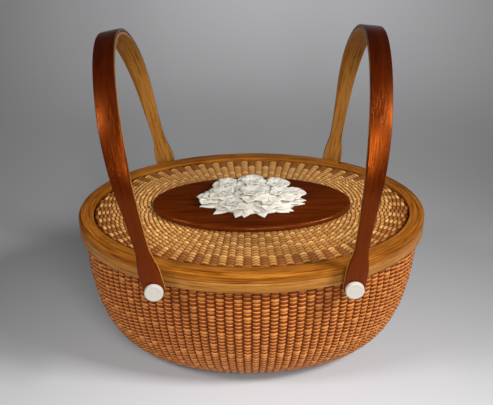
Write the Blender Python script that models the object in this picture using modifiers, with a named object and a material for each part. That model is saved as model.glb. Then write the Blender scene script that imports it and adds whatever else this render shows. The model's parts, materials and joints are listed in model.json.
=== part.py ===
"""Covered oval cane basket with two swing handles and a lift-off lid.

Metres, +Z up. The basket stands on the plane Z = 0 with its long side along X
and its centre line on the Z axis. The body is woven on upright staves that
spring from a grooved base board and are clamped between two rim hoops. The lid
has its own pair of hoops, a locating hoop that drops into the basket, a domed
woven top and a plaque with a carved spray. Each handle is bent from two strips
and turns on two pins that pass through the rim.
"""
import math

import bmesh
import bpy
import numpy as np

MM = 0.001

# Overall oval, measured over the outside of the rims
RIM_HALF_LENGTH = 127.0 * MM
RIM_HALF_DEPTH = 89.3 * MM

# Clearances
SEAT_GAP = 0.3 * MM
RUNNING_GAP = 0.25 * MM
LID_SLIDE_GAP = 0.5 * MM
CUT_OVERRUN = 5.0 * MM
WELD_DISTANCE = 0.03 * MM

# Facets around ovals and turned pieces
HOOP_SIDES = 52
OVAL_SIDES = 40
TURNED_STEPS = 18
PIN_SIDES = 16
ARC_SAMPLES = 3601
SHARP_ANGLE = math.radians(35.0)

# Base board
BOARD_HALF_LENGTH = 82.0 * MM
BOARD_HALF_DEPTH = 48.0 * MM
BOARD_HEIGHT = 8.0 * MM
BOARD_FOOT_ROUND = 1.0 * MM
BOARD_TOP_ROUND = 1.0 * MM
BOARD_LOWER_LIP = 1.7 * MM
GROOVE_DEPTH = 2.8 * MM

# Woven wall
STAVE_COUNT = 105
STAVE_FLAT_SHARE = 0.62
POINTS_PER_STAVE = 3
WALL_THICKNESS = 3.0 * MM
WALL_HEEL = 0.4 * MM
STAVE_RELIEF = 1.2 * MM
WALL_ROWS = 6
# Rows stand closer together near the base board, where the bowl turns sharply
WALL_ROW_EASE = 1.2
BOWL_FULLNESS = 2.2

# Basket rim
RIM_TOP = 106.0 * MM
RIM_HEIGHT = 8.0 * MM
RIM_OUTER_THICKNESS = 3.5 * MM
RIM_INNER_THICKNESS = 3.6 * MM
RIM_ROUND = 1.0 * MM
WALL_TOP_DROP = 0.6 * MM

# Lid rim
LID_RIM_HEIGHT = 6.5 * MM
LID_OUTER_THICKNESS = 5.4 * MM
LID_INNER_THICKNESS = 5.1 * MM
LID_RIM_ROUND = 1.8 * MM

# Locating hoop under the lid
LOCATING_THICKNESS = 2.8 * MM
LOCATING_DEPTH = 6.5 * MM

# Woven lid top
LID_WEAVE_THICKNESS = 2.4 * MM
LID_WEAVE_RELIEF = 1.1 * MM
LID_WEAVE_DROP = 2.0 * MM
LID_DOME_RISE = 3.1 * MM
LID_WEAVE_ROWS = 2
# The staves crowd at the plate, in four waves round it, so that they fan out evenly
STAVE_CROWDING_SHARE = 0.0875
CROWDING_WAVES = 4

# Centre plate and plaque
PLATE_HALF_LENGTH = 64.0 * MM
PLATE_HALF_DEPTH = 29.0 * MM
PLATE_HEIGHT = 5.4 * MM
PLAQUE_HALF_LENGTH = 73.0 * MM
PLAQUE_HALF_DEPTH = 37.7 * MM
PLAQUE_HEIGHT = 4.0 * MM
PLAQUE_ROUND = 2.2 * MM
PLAQUE_ROUND_STEPS = 2

# Carved spray on the plaque
SPRAY_HALF_LENGTH = 42.0 * MM
SPRAY_HALF_DEPTH = 27.0 * MM
LEAF_COUNT = 14
LEAF_NOTCH_SHARE = 0.74
LEAF_THICKNESS = 1.8 * MM
FLOWER_SINK = 0.7 * MM
CENTRE_FLOWER_RADIUS = 17.0 * MM
SIDE_FLOWER_RADIUS = 13.0 * MM
SIDE_FLOWER_OFFSET = 23.0 * MM
BUD_RADIUS = 8.0 * MM
BUD_OFFSET_X = 12.0 * MM
BUD_OFFSET_Y = 15.0 * MM
CENTRE_FLOWER_HEIGHT = 7.6 * MM
SIDE_FLOWER_HEIGHT = 5.6 * MM
BUD_HEIGHT = 6.0 * MM
PETAL_COUNT = 5
PETAL_SIDES = 4
PETAL_NOTCH_SHARE = 0.8
# Radius share and height share from a flower's middle to its edge
FLOWER_PROFILE_SHARES = ((0.16, 1.0), (0.34, 0.55), (0.72, 0.95), (1.0, 0.6))

# Handles
PIVOT_X = 66.7 * MM
PIVOT_ABOVE_RIM_EDGE = 2.0 * MM
ARCH_DRAW_IN = 1.5 * MM
LEG_HEIGHT = 68.0 * MM
ARCH_TOP = 146.3 * MM
ARCH_FULLNESS = 1.87
ARCH_STEPS = 20
LEG_STEPS = 6
FOOT_STEPS = 4
FOOT_START_SHARE = 0.35
OUTER_STRIP = 2.5 * MM
INNER_STRIP = 2.0 * MM
STRIP_ROUND = 0.7 * MM
INNER_STRIP_EXTRA = 0.4 * MM
FOOT_WIDTH = 14.4 * MM
FOOT_TOP = 12.0 * MM
WAIST_WIDTH = 9.0 * MM
WAIST_HEIGHT = 32.0 * MM
GRIP_WIDTH = 14.2 * MM
GRIP_HEIGHT = 115.0 * MM
LEFT_LEAN = math.radians(12.0)
RIGHT_LEAN = math.radians(6.4)

# Pins, spacers and knobs
PIN_RADIUS = 1.25 * MM
PIN_RECESS = 1.0 * MM
SPACER_RADIUS = 5.6 * MM
SPACER_LENGTH = 6.3 * MM
KNOB_RADIUS = 6.4 * MM
KNOB_FACE_RADIUS = 5.3 * MM
KNOB_HEIGHT = 3.0 * MM
KNOB_BEVEL = 0.9 * MM
KNOB_BORE_DEPTH = 1.8 * MM

# Sizes that follow from the ones above
GROOVE_HEIGHT = WALL_THICKNESS + 2 * SEAT_GAP
WALL_BOTTOM = BOARD_LOWER_LIP + SEAT_GAP
RIM_BOTTOM = RIM_TOP - RIM_HEIGHT
WALL_INSET = RIM_OUTER_THICKNESS + SEAT_GAP
RIM_INNER_INSET = WALL_INSET + WALL_THICKNESS + SEAT_GAP
BASKET_MOUTH_INSET = RIM_INNER_INSET + RIM_INNER_THICKNESS
LID_BOTTOM = RIM_TOP + SEAT_GAP
LID_TOP = LID_BOTTOM + LID_RIM_HEIGHT
LID_INNER_INSET = LID_OUTER_THICKNESS + SEAT_GAP
LID_WEAVE_INSET = LID_INNER_INSET + LID_INNER_THICKNESS + SEAT_GAP
LOCATING_INSET = max(BASKET_MOUTH_INSET + LID_SLIDE_GAP, LID_WEAVE_INSET)
LID_WEAVE_EDGE_TOP = LID_TOP - LID_WEAVE_DROP
LID_WEAVE_CREST = LID_WEAVE_EDGE_TOP + LID_DOME_RISE
PLATE_TOP = LID_WEAVE_CREST
PLAQUE_BOTTOM = PLATE_TOP + SEAT_GAP
PLAQUE_TOP = PLAQUE_BOTTOM + PLAQUE_HEIGHT
PIVOT_Z = RIM_BOTTOM + PIVOT_ABOVE_RIM_EDGE
RIM_FACE_AT_PIVOT = RIM_HALF_DEPTH * math.sqrt(1 - (PIVOT_X / RIM_HALF_LENGTH) ** 2)
STRAP_INNER_FACE = RIM_FACE_AT_PIVOT + SEAT_GAP + SPACER_LENGTH + SEAT_GAP
FOOT_Y = STRAP_INNER_FACE + INNER_STRIP
ARCH_Y = FOOT_Y - ARCH_DRAW_IN
STRAP_OUTER_FACE = FOOT_Y + OUTER_STRIP
KNOB_BACK = STRAP_OUTER_FACE + SEAT_GAP
BORE_RADIUS = PIN_RADIUS + RUNNING_GAP


def start_empty():
    """Clear the file and make the two collections."""
    for item in list(bpy.data.objects):
        bpy.data.objects.remove(item, do_unlink=True)
    made = []
    for name in ("nantucket_basket", "cutters"):
        collection = bpy.data.collections.new(name)
        bpy.context.scene.collection.children.link(collection)
        made.append(collection)
    return made


PARTS, CUTTERS = start_empty()


def make_material(name, colour, roughness, metallic=0.0):
    """A plain Principled material in the piece's own colour."""
    material = bpy.data.materials.new(name)
    material.use_nodes = True
    shader = material.node_tree.nodes["Principled BSDF"]
    shader.inputs["Base Color"].default_value = (*colour, 1.0)
    shader.inputs["Roughness"].default_value = roughness
    shader.inputs["Metallic"].default_value = metallic
    material.diffuse_color = (*colour, 1.0)
    return material


MAHOGANY = make_material("mahogany", (0.10, 0.022, 0.009), 0.32)
PALE_OAK = make_material("pale_oak", (0.55, 0.30, 0.11), 0.45)
LID_OAK = make_material("lid_oak", (0.46, 0.19, 0.045), 0.40)
CANE = make_material("cane", (0.42, 0.19, 0.065), 0.50)
LID_CANE = make_material("lid_cane", (0.55, 0.31, 0.11), 0.50)
BONE = make_material("bone", (0.76, 0.73, 0.66), 0.35)
BRASS = make_material("brass", (0.60, 0.42, 0.16), 0.30, 1.0)


def add_object(name, mesh, material, parent=None):
    """Put a mesh in the scene as a named, smooth-shaded part."""
    mesh.materials.append(material)
    mesh.shade_smooth()
    mesh.set_sharp_from_angle(angle=SHARP_ANGLE)
    item = bpy.data.objects.new(name, mesh)
    PARTS.objects.link(item)
    if parent is not None:
        item.parent = parent
    return item


def as_cutter(item):
    """Hide a shape that is only used to cut or join others."""
    for collection in list(item.users_collection):
        collection.objects.unlink(item)
    CUTTERS.objects.link(item)
    item.hide_render = True
    item.display_type = "WIRE"
    return item


def cut(item, cutter, operation="DIFFERENCE"):
    """Cut an object by another, or join them into one body."""
    modifier = item.modifiers.new(operation.lower(), "BOOLEAN")
    modifier.operation = operation
    modifier.solver = "EXACT"
    modifier.object = cutter


def gap_depth(index, relief):
    """Relief at the middle one of a stave's points, which is the gap to the next stave."""
    return relief if index % POINTS_PER_STAVE == 1 else 0.0


def oval_ring(half_length, half_depth, height, angles, relief=0.0):
    """Points of one oval at a height, drawn in by the relief between the staves."""
    points = []
    for index, angle in enumerate(angles):
        inset = gap_depth(index, relief)
        points.append((
            (half_length - inset) * math.cos(angle),
            (half_depth - inset) * math.sin(angle),
            height,
        ))
    return points


def loft(name, rings, material, ends="CAPPED", parent=None):
    """Skin a stack of rings; the ends are CAPPED, OPEN or JOINED to each other."""
    shape = bmesh.new()
    rows = [[shape.verts.new(point) for point in ring] for ring in rings]
    pairs = list(zip(rows, rows[1:]))
    if ends == "JOINED":
        pairs.append((rows[-1], rows[0]))
    for lower, upper in pairs:
        for index in range(len(lower)):
            after = (index + 1) % len(lower)
            shape.faces.new((lower[index], lower[after], upper[after], upper[index]))
    if ends == "CAPPED":
        shape.faces.new(list(reversed(rows[0])))
        shape.faces.new(rows[-1])
    mesh = bpy.data.meshes.new(name)
    shape.to_mesh(mesh)
    shape.free()
    return add_object(name, mesh, material, parent)


def even_angles(count):
    """Angles that step evenly around an oval's parameter."""
    return [2 * math.pi * index / count for index in range(count)]


def stave_angles():
    """Angles of a stave's shoulder, the gap and the next shoulder, evenly along the rim."""
    fine = np.linspace(0.0, 2 * math.pi, ARC_SAMPLES)
    step = np.hypot(RIM_HALF_LENGTH * np.sin(fine), RIM_HALF_DEPTH * np.cos(fine))
    run = np.concatenate(([0.0], np.cumsum((step[1:] + step[:-1]) * np.diff(fine) / 2)))
    shoulder = STAVE_FLAT_SHARE / 2
    staves = np.arange(STAVE_COUNT)[:, None] + np.array((shoulder, 0.5, 1 - shoulder))
    return list(np.interp(staves.ravel() / STAVE_COUNT * run[-1], run, fine))


HOOP_ANGLES = even_angles(HOOP_SIDES)
OVAL_ANGLES = even_angles(OVAL_SIDES)
STAVE_ANGLES = stave_angles()


def cylinder(name, radius, sides, start, end, x, z, material):
    """A round bar along Y, given by its two end faces."""
    shape = bmesh.new()
    bmesh.ops.create_cone(shape, cap_ends=True, segments=sides, radius1=radius,
                          radius2=radius, depth=abs(end - start))
    mesh = bpy.data.meshes.new(name)
    shape.to_mesh(mesh)
    shape.free()
    item = add_object(name, mesh, material)
    item.rotation_euler = (math.pi / 2, 0.0, 0.0)
    item.location = (x, (start + end) / 2, z)
    return item


def pin_bore(side):
    """The cutter for every hole on one handle's pivot line."""
    reach = KNOB_BACK + CUT_OVERRUN
    bore = cylinder("bore", BORE_RADIUS, PIN_SIDES, -reach, reach, side * PIVOT_X,
                    PIVOT_Z, BRASS)
    return as_cutter(bore)


LEFT_BORE = pin_bore(-1)
RIGHT_BORE = pin_bore(1)


def hoop(name, inset, bottom, top, thickness, material, edge_round=0.0):
    """A bent oval band: an open strip with its thickness inwards and rounded edges."""
    rings = [
        oval_ring(RIM_HALF_LENGTH - inset, RIM_HALF_DEPTH - inset, height, HOOP_ANGLES)
        for height in (bottom, top)
    ]
    band = loft(name, rings, material, ends="OPEN")
    shell = band.modifiers.new("thickness", "SOLIDIFY")
    shell.thickness = thickness
    shell.offset = -1.0
    shell.use_even_offset = True
    if edge_round:
        bevel = band.modifiers.new("rounded_edges", "BEVEL")
        bevel.width = edge_round
        bevel.segments = 1
        bevel.limit_method = "ANGLE"
        bevel.angle_limit = SHARP_ANGLE
    return band


def wall_profile(drop=0.0):
    """Insets and heights up the outside of the bowl, or a wall's thickness inside it."""
    top_length = RIM_HALF_LENGTH - WALL_INSET
    top_depth = RIM_HALF_DEPTH - WALL_INSET
    points = []
    for row in range(WALL_ROWS + 1):
        slope = math.pi / 2 * (row / WALL_ROWS) ** WALL_ROW_EASE
        out_share = math.sin(slope) ** (2 / BOWL_FULLNESS)
        up_share = 1 - max(math.cos(slope), 0.0) ** (2 / BOWL_FULLNESS)
        length = BOARD_HALF_LENGTH + (top_length - BOARD_HALF_LENGTH) * out_share
        depth = BOARD_HALF_DEPTH + (top_depth - BOARD_HALF_DEPTH) * out_share
        height = WALL_BOTTOM + (RIM_BOTTOM - WALL_BOTTOM) * up_share
        points.append((
            length - drop * math.sin(slope),
            depth - drop * math.sin(slope),
            height + drop * math.cos(slope),
        ))
    return points


def make_base_board():
    """The turned board, with the groove that holds the lower ends of the staves."""
    groove_top = BOARD_LOWER_LIP + GROOVE_HEIGHT
    levels = (
        (BOARD_FOOT_ROUND, 0.0),
        (0.0, BOARD_FOOT_ROUND),
        (0.0, BOARD_LOWER_LIP),
        (GROOVE_DEPTH, BOARD_LOWER_LIP),
        (GROOVE_DEPTH, groove_top),
        (0.0, groove_top),
        (0.0, BOARD_HEIGHT - BOARD_TOP_ROUND),
        (BOARD_TOP_ROUND, BOARD_HEIGHT),
    )
    rings = [
        oval_ring(BOARD_HALF_LENGTH - inset, BOARD_HALF_DEPTH - inset, height, OVAL_ANGLES)
        for inset, height in levels
    ]
    loft("base_board", rings, MAHOGANY)


def make_woven_wall():
    """The bowl: a ribbed oval shape, one rib for each stave, hollowed by a smooth one."""
    foot_inset = GROOVE_DEPTH - SEAT_GAP
    foot_length = BOARD_HALF_LENGTH - foot_inset
    foot_depth = BOARD_HALF_DEPTH - foot_inset
    wall_top = RIM_TOP - WALL_TOP_DROP
    heel_length, heel_depth = foot_length + WALL_HEEL, foot_depth + WALL_HEEL
    outside = [oval_ring(heel_length, heel_depth, WALL_BOTTOM, STAVE_ANGLES)]
    for length, depth, height in wall_profile()[1:]:
        outside.append(oval_ring(length, depth, height, STAVE_ANGLES, STAVE_RELIEF))
    outside.append(oval_ring(length, depth, wall_top, STAVE_ANGLES, STAVE_RELIEF))
    wall = loft("woven_wall", outside, CANE)

    inside = [
        oval_ring(foot_length, foot_depth, WALL_BOTTOM - CUT_OVERRUN, HOOP_ANGLES),
        oval_ring(foot_length, foot_depth, WALL_BOTTOM + WALL_THICKNESS, HOOP_ANGLES),
    ]
    for length, depth, height in wall_profile(WALL_THICKNESS):
        inside.append(oval_ring(length, depth, height, HOOP_ANGLES))
    inside.append(oval_ring(length, depth, wall_top + CUT_OVERRUN, HOOP_ANGLES))
    cut(wall, as_cutter(loft("bowl_hollow", inside, CANE)))
    cut(wall, LEFT_BORE)
    cut(wall, RIGHT_BORE)


def make_basket_rim():
    """The two hoops that clamp the top of the weave, bored for the handle pins."""
    outer = hoop("rim_outer_hoop", 0.0, RIM_BOTTOM, RIM_TOP, RIM_OUTER_THICKNESS,
                 PALE_OAK, RIM_ROUND)
    inner = hoop("rim_inner_hoop", RIM_INNER_INSET, RIM_BOTTOM, RIM_TOP,
                 RIM_INNER_THICKNESS, PALE_OAK)
    for band in (outer, inner):
        cut(band, LEFT_BORE)
        cut(band, RIGHT_BORE)


def make_lid_frame():
    """The lid's two hoops and the locating hoop that drops into the basket."""
    hoop("lid_outer_hoop", 0.0, LID_BOTTOM, LID_TOP, LID_OUTER_THICKNESS, LID_OAK,
         LID_RIM_ROUND)
    hoop("lid_inner_hoop", LID_INNER_INSET, LID_BOTTOM, LID_TOP, LID_INNER_THICKNESS,
         LID_OAK)
    locating_top = LID_WEAVE_EDGE_TOP - LID_WEAVE_THICKNESS - SEAT_GAP
    hoop("lid_locating_hoop", LOCATING_INSET, RIM_TOP - LOCATING_DEPTH, locating_top,
         LOCATING_THICKNESS, PALE_OAK)


def lid_weave_ring(share, drop, relief=0.0):
    """One ring of the domed lid weave, from the plate at share 0 out to the rim at 1."""
    start_length, start_depth = PLATE_HALF_LENGTH + SEAT_GAP, PLATE_HALF_DEPTH + SEAT_GAP
    end_length = RIM_HALF_LENGTH - LID_WEAVE_INSET
    end_depth = RIM_HALF_DEPTH - LID_WEAVE_INSET
    height = LID_WEAVE_CREST - LID_DOME_RISE * share ** 2 - drop
    points = []
    for index, angle in enumerate(STAVE_ANGLES):
        crowded = angle + STAVE_CROWDING_SHARE * math.sin(CROWDING_WAVES * angle)
        x = start_length * math.cos(crowded) * (1 - share) + end_length * math.cos(angle) * share
        y = start_depth * math.sin(crowded) * (1 - share) + end_depth * math.sin(angle) * share
        points.append((x, y, height - gap_depth(index, relief)))
    return points


def make_lid_top():
    """The domed top, ribbed by its radiating staves, on a smooth underside."""
    shell = [lid_weave_ring(share, LID_WEAVE_THICKNESS) for share in (0.0, 1.0)]
    for row in range(LID_WEAVE_ROWS, -1, -1):
        shell.append(lid_weave_ring(row / LID_WEAVE_ROWS, 0.0, LID_WEAVE_RELIEF))
    loft("lid_woven_top", shell, LID_CANE, ends="JOINED")


def oval_plate(name, half_length, half_depth, bottom, top, material, edge_round=0.0,
               round_steps=1):
    """A flat oval plate whose upper edge is rolled over."""
    rings = [oval_ring(half_length, half_depth, bottom, OVAL_ANGLES)]
    if edge_round:
        for step in range(round_steps + 1):
            turn = math.pi / 2 * step / round_steps
            inset = edge_round * (1 - math.cos(turn))
            height = top - edge_round * (1 - math.sin(turn))
            rings.append(oval_ring(half_length - inset, half_depth - inset, height, OVAL_ANGLES))
    else:
        rings.append(oval_ring(half_length, half_depth, top, OVAL_ANGLES))
    return loft(name, rings, material)


def make_plaque():
    """The centre plate that the lid staves spring from, and the plaque on top of it."""
    oval_plate("lid_centre_plate", PLATE_HALF_LENGTH, PLATE_HALF_DEPTH,
               PLATE_TOP - PLATE_HEIGHT, PLATE_TOP, MAHOGANY)
    oval_plate("plaque", PLAQUE_HALF_LENGTH, PLAQUE_HALF_DEPTH, PLAQUE_BOTTOM, PLAQUE_TOP,
               MAHOGANY, PLAQUE_ROUND, PLAQUE_ROUND_STEPS)


def flower(name, radius, height, x, y, turn):
    """An open flower: rings of petals that dip around the heart and roll down at the rim."""
    sides = PETAL_COUNT * PETAL_SIDES
    base = PLAQUE_TOP + SEAT_GAP + LEAF_THICKNESS - FLOWER_SINK
    crown = base + height + FLOWER_SINK
    rings = []
    levels = [(1.0, 0.0)] + list(reversed(FLOWER_PROFILE_SHARES))
    for reach_share, height_share in levels:
        ring = []
        for angle in even_angles(sides):
            lobe = abs(math.cos(PETAL_COUNT * angle / 2))
            notch = 1 - (1 - PETAL_NOTCH_SHARE) * (1 - lobe) * reach_share
            reach = radius * reach_share * notch
            ring.append((
                x + reach * math.cos(angle + turn),
                y + reach * math.sin(angle + turn),
                base + (crown - base) * height_share,
            ))
        rings.append(ring)
    return loft(name, rings, BONE)


def make_carved_spray():
    """Pointed leaves laid flat in a ring, with five flowers carved over them."""
    outline = bpy.data.curves.new("leaf_outline", "CURVE")
    outline.dimensions = "2D"
    outline.fill_mode = "BOTH"
    outline.extrude = LEAF_THICKNESS / 2
    spline = outline.splines.new("POLY")
    spline.points.add(2 * LEAF_COUNT - 1)
    spline.use_cyclic_u = True
    for index, angle in enumerate(even_angles(2 * LEAF_COUNT)):
        share = 1.0 if index % 2 == 0 else LEAF_NOTCH_SHARE
        spline.points[index].co = (
            SPRAY_HALF_LENGTH * share * math.cos(angle),
            SPRAY_HALF_DEPTH * share * math.sin(angle),
            0.0,
            1.0,
        )
    guide = bpy.data.objects.new("leaf_guide", outline)
    guide.location = (0.0, 0.0, PLAQUE_TOP + SEAT_GAP + LEAF_THICKNESS / 2)
    PARTS.objects.link(guide)
    bpy.context.view_layer.update()
    evaluated = guide.evaluated_get(bpy.context.evaluated_depsgraph_get())
    mesh = bpy.data.meshes.new_from_object(evaluated)
    cleanup = bmesh.new()
    cleanup.from_mesh(mesh)
    bmesh.ops.remove_doubles(cleanup, verts=cleanup.verts, dist=WELD_DISTANCE)
    cleanup.to_mesh(mesh)
    cleanup.free()
    mesh.materials.clear()
    spray = add_object("carved_spray", mesh, BONE)
    spray.matrix_world = guide.matrix_world
    bpy.data.objects.remove(guide)

    turn = math.pi / PETAL_COUNT
    flowers = (
        ("heart", CENTRE_FLOWER_RADIUS, CENTRE_FLOWER_HEIGHT, 0.0, 0.0, turn / 2),
        ("west", SIDE_FLOWER_RADIUS, SIDE_FLOWER_HEIGHT, -SIDE_FLOWER_OFFSET, 0.0, 0.0),
        ("east", SIDE_FLOWER_RADIUS, SIDE_FLOWER_HEIGHT, SIDE_FLOWER_OFFSET, 0.0, turn),
        ("front_bud", BUD_RADIUS, BUD_HEIGHT, BUD_OFFSET_X, -BUD_OFFSET_Y, turn / 3),
        ("back_bud", BUD_RADIUS, BUD_HEIGHT, -BUD_OFFSET_X, BUD_OFFSET_Y, turn / 4),
    )
    for label, radius, height, x, y, angle in flowers:
        bloom = flower(label + "_flower", radius, height, x, y, angle)
        cut(spray, as_cutter(bloom), "UNION")


def smooth_step(share):
    """Ease from 0 to 1 with level ends."""
    share = min(max(share, 0.0), 1.0)
    return share * share * (3 - 2 * share)


def strip_width(height):
    """Width of the bent strip: round foot, broad eye, narrow waist, broad grip."""
    foot_radius = FOOT_WIDTH / 2
    if height < 0:
        return 2 * math.sqrt(max(foot_radius ** 2 - height ** 2, 0.0))
    if height < WAIST_HEIGHT:
        share = smooth_step((height - FOOT_TOP) / (WAIST_HEIGHT - FOOT_TOP))
        return FOOT_WIDTH + (WAIST_WIDTH - FOOT_WIDTH) * share
    share = smooth_step((height - WAIST_HEIGHT) / (GRIP_HEIGHT - WAIST_HEIGHT))
    return WAIST_WIDTH + (GRIP_WIDTH - WAIST_WIDTH) * share


def handle_path():
    """Stations of one handle in its own plane: across, height, and width of the strip."""
    leg = []
    foot_radius = FOOT_WIDTH / 2
    for step in range(FOOT_STEPS):
        turn = math.pi / 2 * (step + FOOT_START_SHARE) / FOOT_STEPS
        leg.append((FOOT_Y, -foot_radius * math.cos(turn)))
    for step in range(LEG_STEPS):
        height = LEG_HEIGHT * step / LEG_STEPS
        ease = smooth_step((height - FOOT_TOP) / (LEG_HEIGHT - FOOT_TOP))
        leg.append((FOOT_Y + (ARCH_Y - FOOT_Y) * ease, height))
    arch = []
    for step in range(ARCH_STEPS + 1):
        turn = math.pi * step / ARCH_STEPS
        across_share = math.copysign(abs(math.cos(turn)) ** (2 / ARCH_FULLNESS), math.cos(turn))
        up_share = max(math.sin(turn), 0.0) ** (2 / ARCH_FULLNESS)
        arch.append((ARCH_Y * across_share, LEG_HEIGHT + (ARCH_TOP - LEG_HEIGHT) * up_share))
    front = [(-across, height) for across, height in leg]
    middle = [(-across, height) for across, height in arch]
    back = list(reversed(leg))
    return [(*point, strip_width(point[1])) for point in front + middle + back]


def path_normals(path):
    """Outward direction at each station, square to the run of the strip."""
    normals = []
    last = len(path) - 1
    for index, (across, height, width) in enumerate(path):
        before = path[max(index - 1, 0)]
        after = path[min(index + 1, last)]
        if height < FOOT_TOP:
            normals.append((math.copysign(1.0, across), 0.0))
            continue
        run_across, run_up = after[0] - before[0], after[1] - before[1]
        size = math.hypot(run_across, run_up)
        normals.append((-run_up / size, run_across / size))
    return normals


def strip_section(width, inner, outer, corner):
    """Corners of a strip's section: side to side, and out from the glue line."""
    half = width / 2
    corner = min(corner, half / 2)
    section = [(-half, inner), (-half, outer - corner)]
    if corner:
        section += [(-half + corner, outer), (half - corner, outer)]
    return section + [(half, outer - corner), (half, inner)]


def bent_strip(name, inner, outer, extra_width, corner, material, parent, bore):
    """One lamination, swept along the handle between two distances from its glue line."""
    path = handle_path()
    rings = []
    for (across, height, width), (out_y, out_z) in zip(path, path_normals(path)):
        rings.append([
            (side, across + out_y * distance, height + out_z * distance)
            for side, distance in strip_section(width + extra_width, inner, outer, corner)
        ])
    strip = loft(name, rings, material, parent=parent)
    cut(strip, bore)


def make_handle(label, side, lean, bore):
    """A handle on its pivot: the dark strip outside, the pale strip inside."""
    pivot = bpy.data.objects.new(label + "_handle_pivot", None)
    pivot.location = (side * PIVOT_X, 0.0, PIVOT_Z)
    pivot.rotation_euler = (0.0, side * lean, 0.0)
    PARTS.objects.link(pivot)
    bent_strip(label + "_handle_outer_strip", SEAT_GAP / 2, OUTER_STRIP, 0.0, STRIP_ROUND,
               MAHOGANY, pivot, bore)
    bent_strip(label + "_handle_inner_strip", -INNER_STRIP, -SEAT_GAP / 2,
               INNER_STRIP_EXTRA, 0.0, PALE_OAK, pivot, bore)


def knob(name, x, facing):
    """A turned button with a flat face, a bevelled edge and a blind bore for the pin."""
    profile = (
        (0.0, KNOB_HEIGHT),
        (KNOB_FACE_RADIUS, KNOB_HEIGHT),
        (KNOB_RADIUS, KNOB_HEIGHT - KNOB_BEVEL),
        (KNOB_RADIUS, 0.0),
        (BORE_RADIUS, 0.0),
        (BORE_RADIUS, KNOB_BORE_DEPTH),
        (0.0, KNOB_BORE_DEPTH),
    )
    shape = bmesh.new()
    points = [shape.verts.new((radius, 0.0, height)) for radius, height in profile]
    for start, end in zip(points, points[1:]):
        shape.edges.new((start, end))
    mesh = bpy.data.meshes.new(name)
    shape.to_mesh(mesh)
    shape.free()
    item = add_object(name, mesh, BONE)
    item.location = (x, facing * KNOB_BACK, PIVOT_Z)
    item.rotation_euler = (-facing * math.pi / 2, 0.0, 0.0)
    turned = item.modifiers.new("turned", "SCREW")
    turned.axis = "Z"
    turned.steps = TURNED_STEPS
    turned.render_steps = TURNED_STEPS
    turned.use_merge_vertices = True
    turned.merge_threshold = WELD_DISTANCE
    turned.use_smooth_shade = True


def make_fittings():
    """Pins, spacers and knobs at the four pivots."""
    seat_rings = [
        oval_ring(RIM_HALF_LENGTH + SEAT_GAP, RIM_HALF_DEPTH + SEAT_GAP, height, HOOP_ANGLES)
        for height in (RIM_BOTTOM - CUT_OVERRUN - SPACER_RADIUS, RIM_TOP + CUT_OVERRUN)
    ]
    rim_seat = as_cutter(loft("rim_seat", seat_rings, PALE_OAK))
    bore_edge = PIVOT_X + PIN_RADIUS
    mouth_length = RIM_HALF_LENGTH - BASKET_MOUTH_INSET
    mouth_depth = RIM_HALF_DEPTH - BASKET_MOUTH_INSET
    inner_face = mouth_depth * math.sqrt(1 - (bore_edge / mouth_length) ** 2)
    pin_start = inner_face + PIN_RECESS + PIN_RADIUS
    pin_end = KNOB_BACK + KNOB_BORE_DEPTH - SEAT_GAP
    for facing, face_name in ((-1, "front"), (1, "back")):
        for side, side_name in ((-1, "left"), (1, "right")):
            label = face_name + "_" + side_name
            x = side * PIVOT_X
            cylinder(label + "_pin", PIN_RADIUS, PIN_SIDES, facing * pin_start,
                     facing * pin_end, x, PIVOT_Z, BRASS)
            spacer = cylinder(label + "_spacer", SPACER_RADIUS, TURNED_STEPS, 0.0,
                              facing * (STRAP_INNER_FACE - SEAT_GAP), x, PIVOT_Z, MAHOGANY)
            cut(spacer, rim_seat)
            cut(spacer, LEFT_BORE if side < 0 else RIGHT_BORE)
            knob(label + "_knob", x, facing)


make_base_board()
make_woven_wall()
make_basket_rim()
make_lid_frame()
make_lid_top()
make_plaque()
make_carved_spray()
make_handle("left", -1, LEFT_LEAN, LEFT_BORE)
make_handle("right", 1, RIGHT_LEAN, RIGHT_BORE)
make_fittings()
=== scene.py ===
"""Looks of a covered oval cane basket: weave, bent wood, carving, studio and camera."""

import json
import math

import bpy
import numpy as np
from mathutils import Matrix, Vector


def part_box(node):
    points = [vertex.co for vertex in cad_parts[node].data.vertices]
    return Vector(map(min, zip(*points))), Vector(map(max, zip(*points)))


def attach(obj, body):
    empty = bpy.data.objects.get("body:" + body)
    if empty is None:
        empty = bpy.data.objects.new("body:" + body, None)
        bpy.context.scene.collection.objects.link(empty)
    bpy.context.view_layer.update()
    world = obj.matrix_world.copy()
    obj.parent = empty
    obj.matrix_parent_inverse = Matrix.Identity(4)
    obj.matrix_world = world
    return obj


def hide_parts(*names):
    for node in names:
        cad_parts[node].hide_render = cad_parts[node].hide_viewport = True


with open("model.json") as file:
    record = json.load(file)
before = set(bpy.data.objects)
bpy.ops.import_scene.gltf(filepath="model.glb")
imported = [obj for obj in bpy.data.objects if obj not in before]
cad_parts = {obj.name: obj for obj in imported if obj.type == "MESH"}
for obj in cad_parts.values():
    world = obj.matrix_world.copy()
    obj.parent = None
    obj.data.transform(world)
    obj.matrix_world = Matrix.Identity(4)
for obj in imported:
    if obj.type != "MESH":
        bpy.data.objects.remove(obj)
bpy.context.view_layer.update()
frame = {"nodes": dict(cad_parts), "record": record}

bl_info = {
    "name": "Covered Cane Basket",
    "version": (1, 0, 0),
    "blender": (4, 5, 0),
    "location": "3D View > Sidebar > Basket",
    "description": "Weaves and finishes an oval covered basket round its packed parts",
    "category": "Object",
}

MM = 0.001

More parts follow.
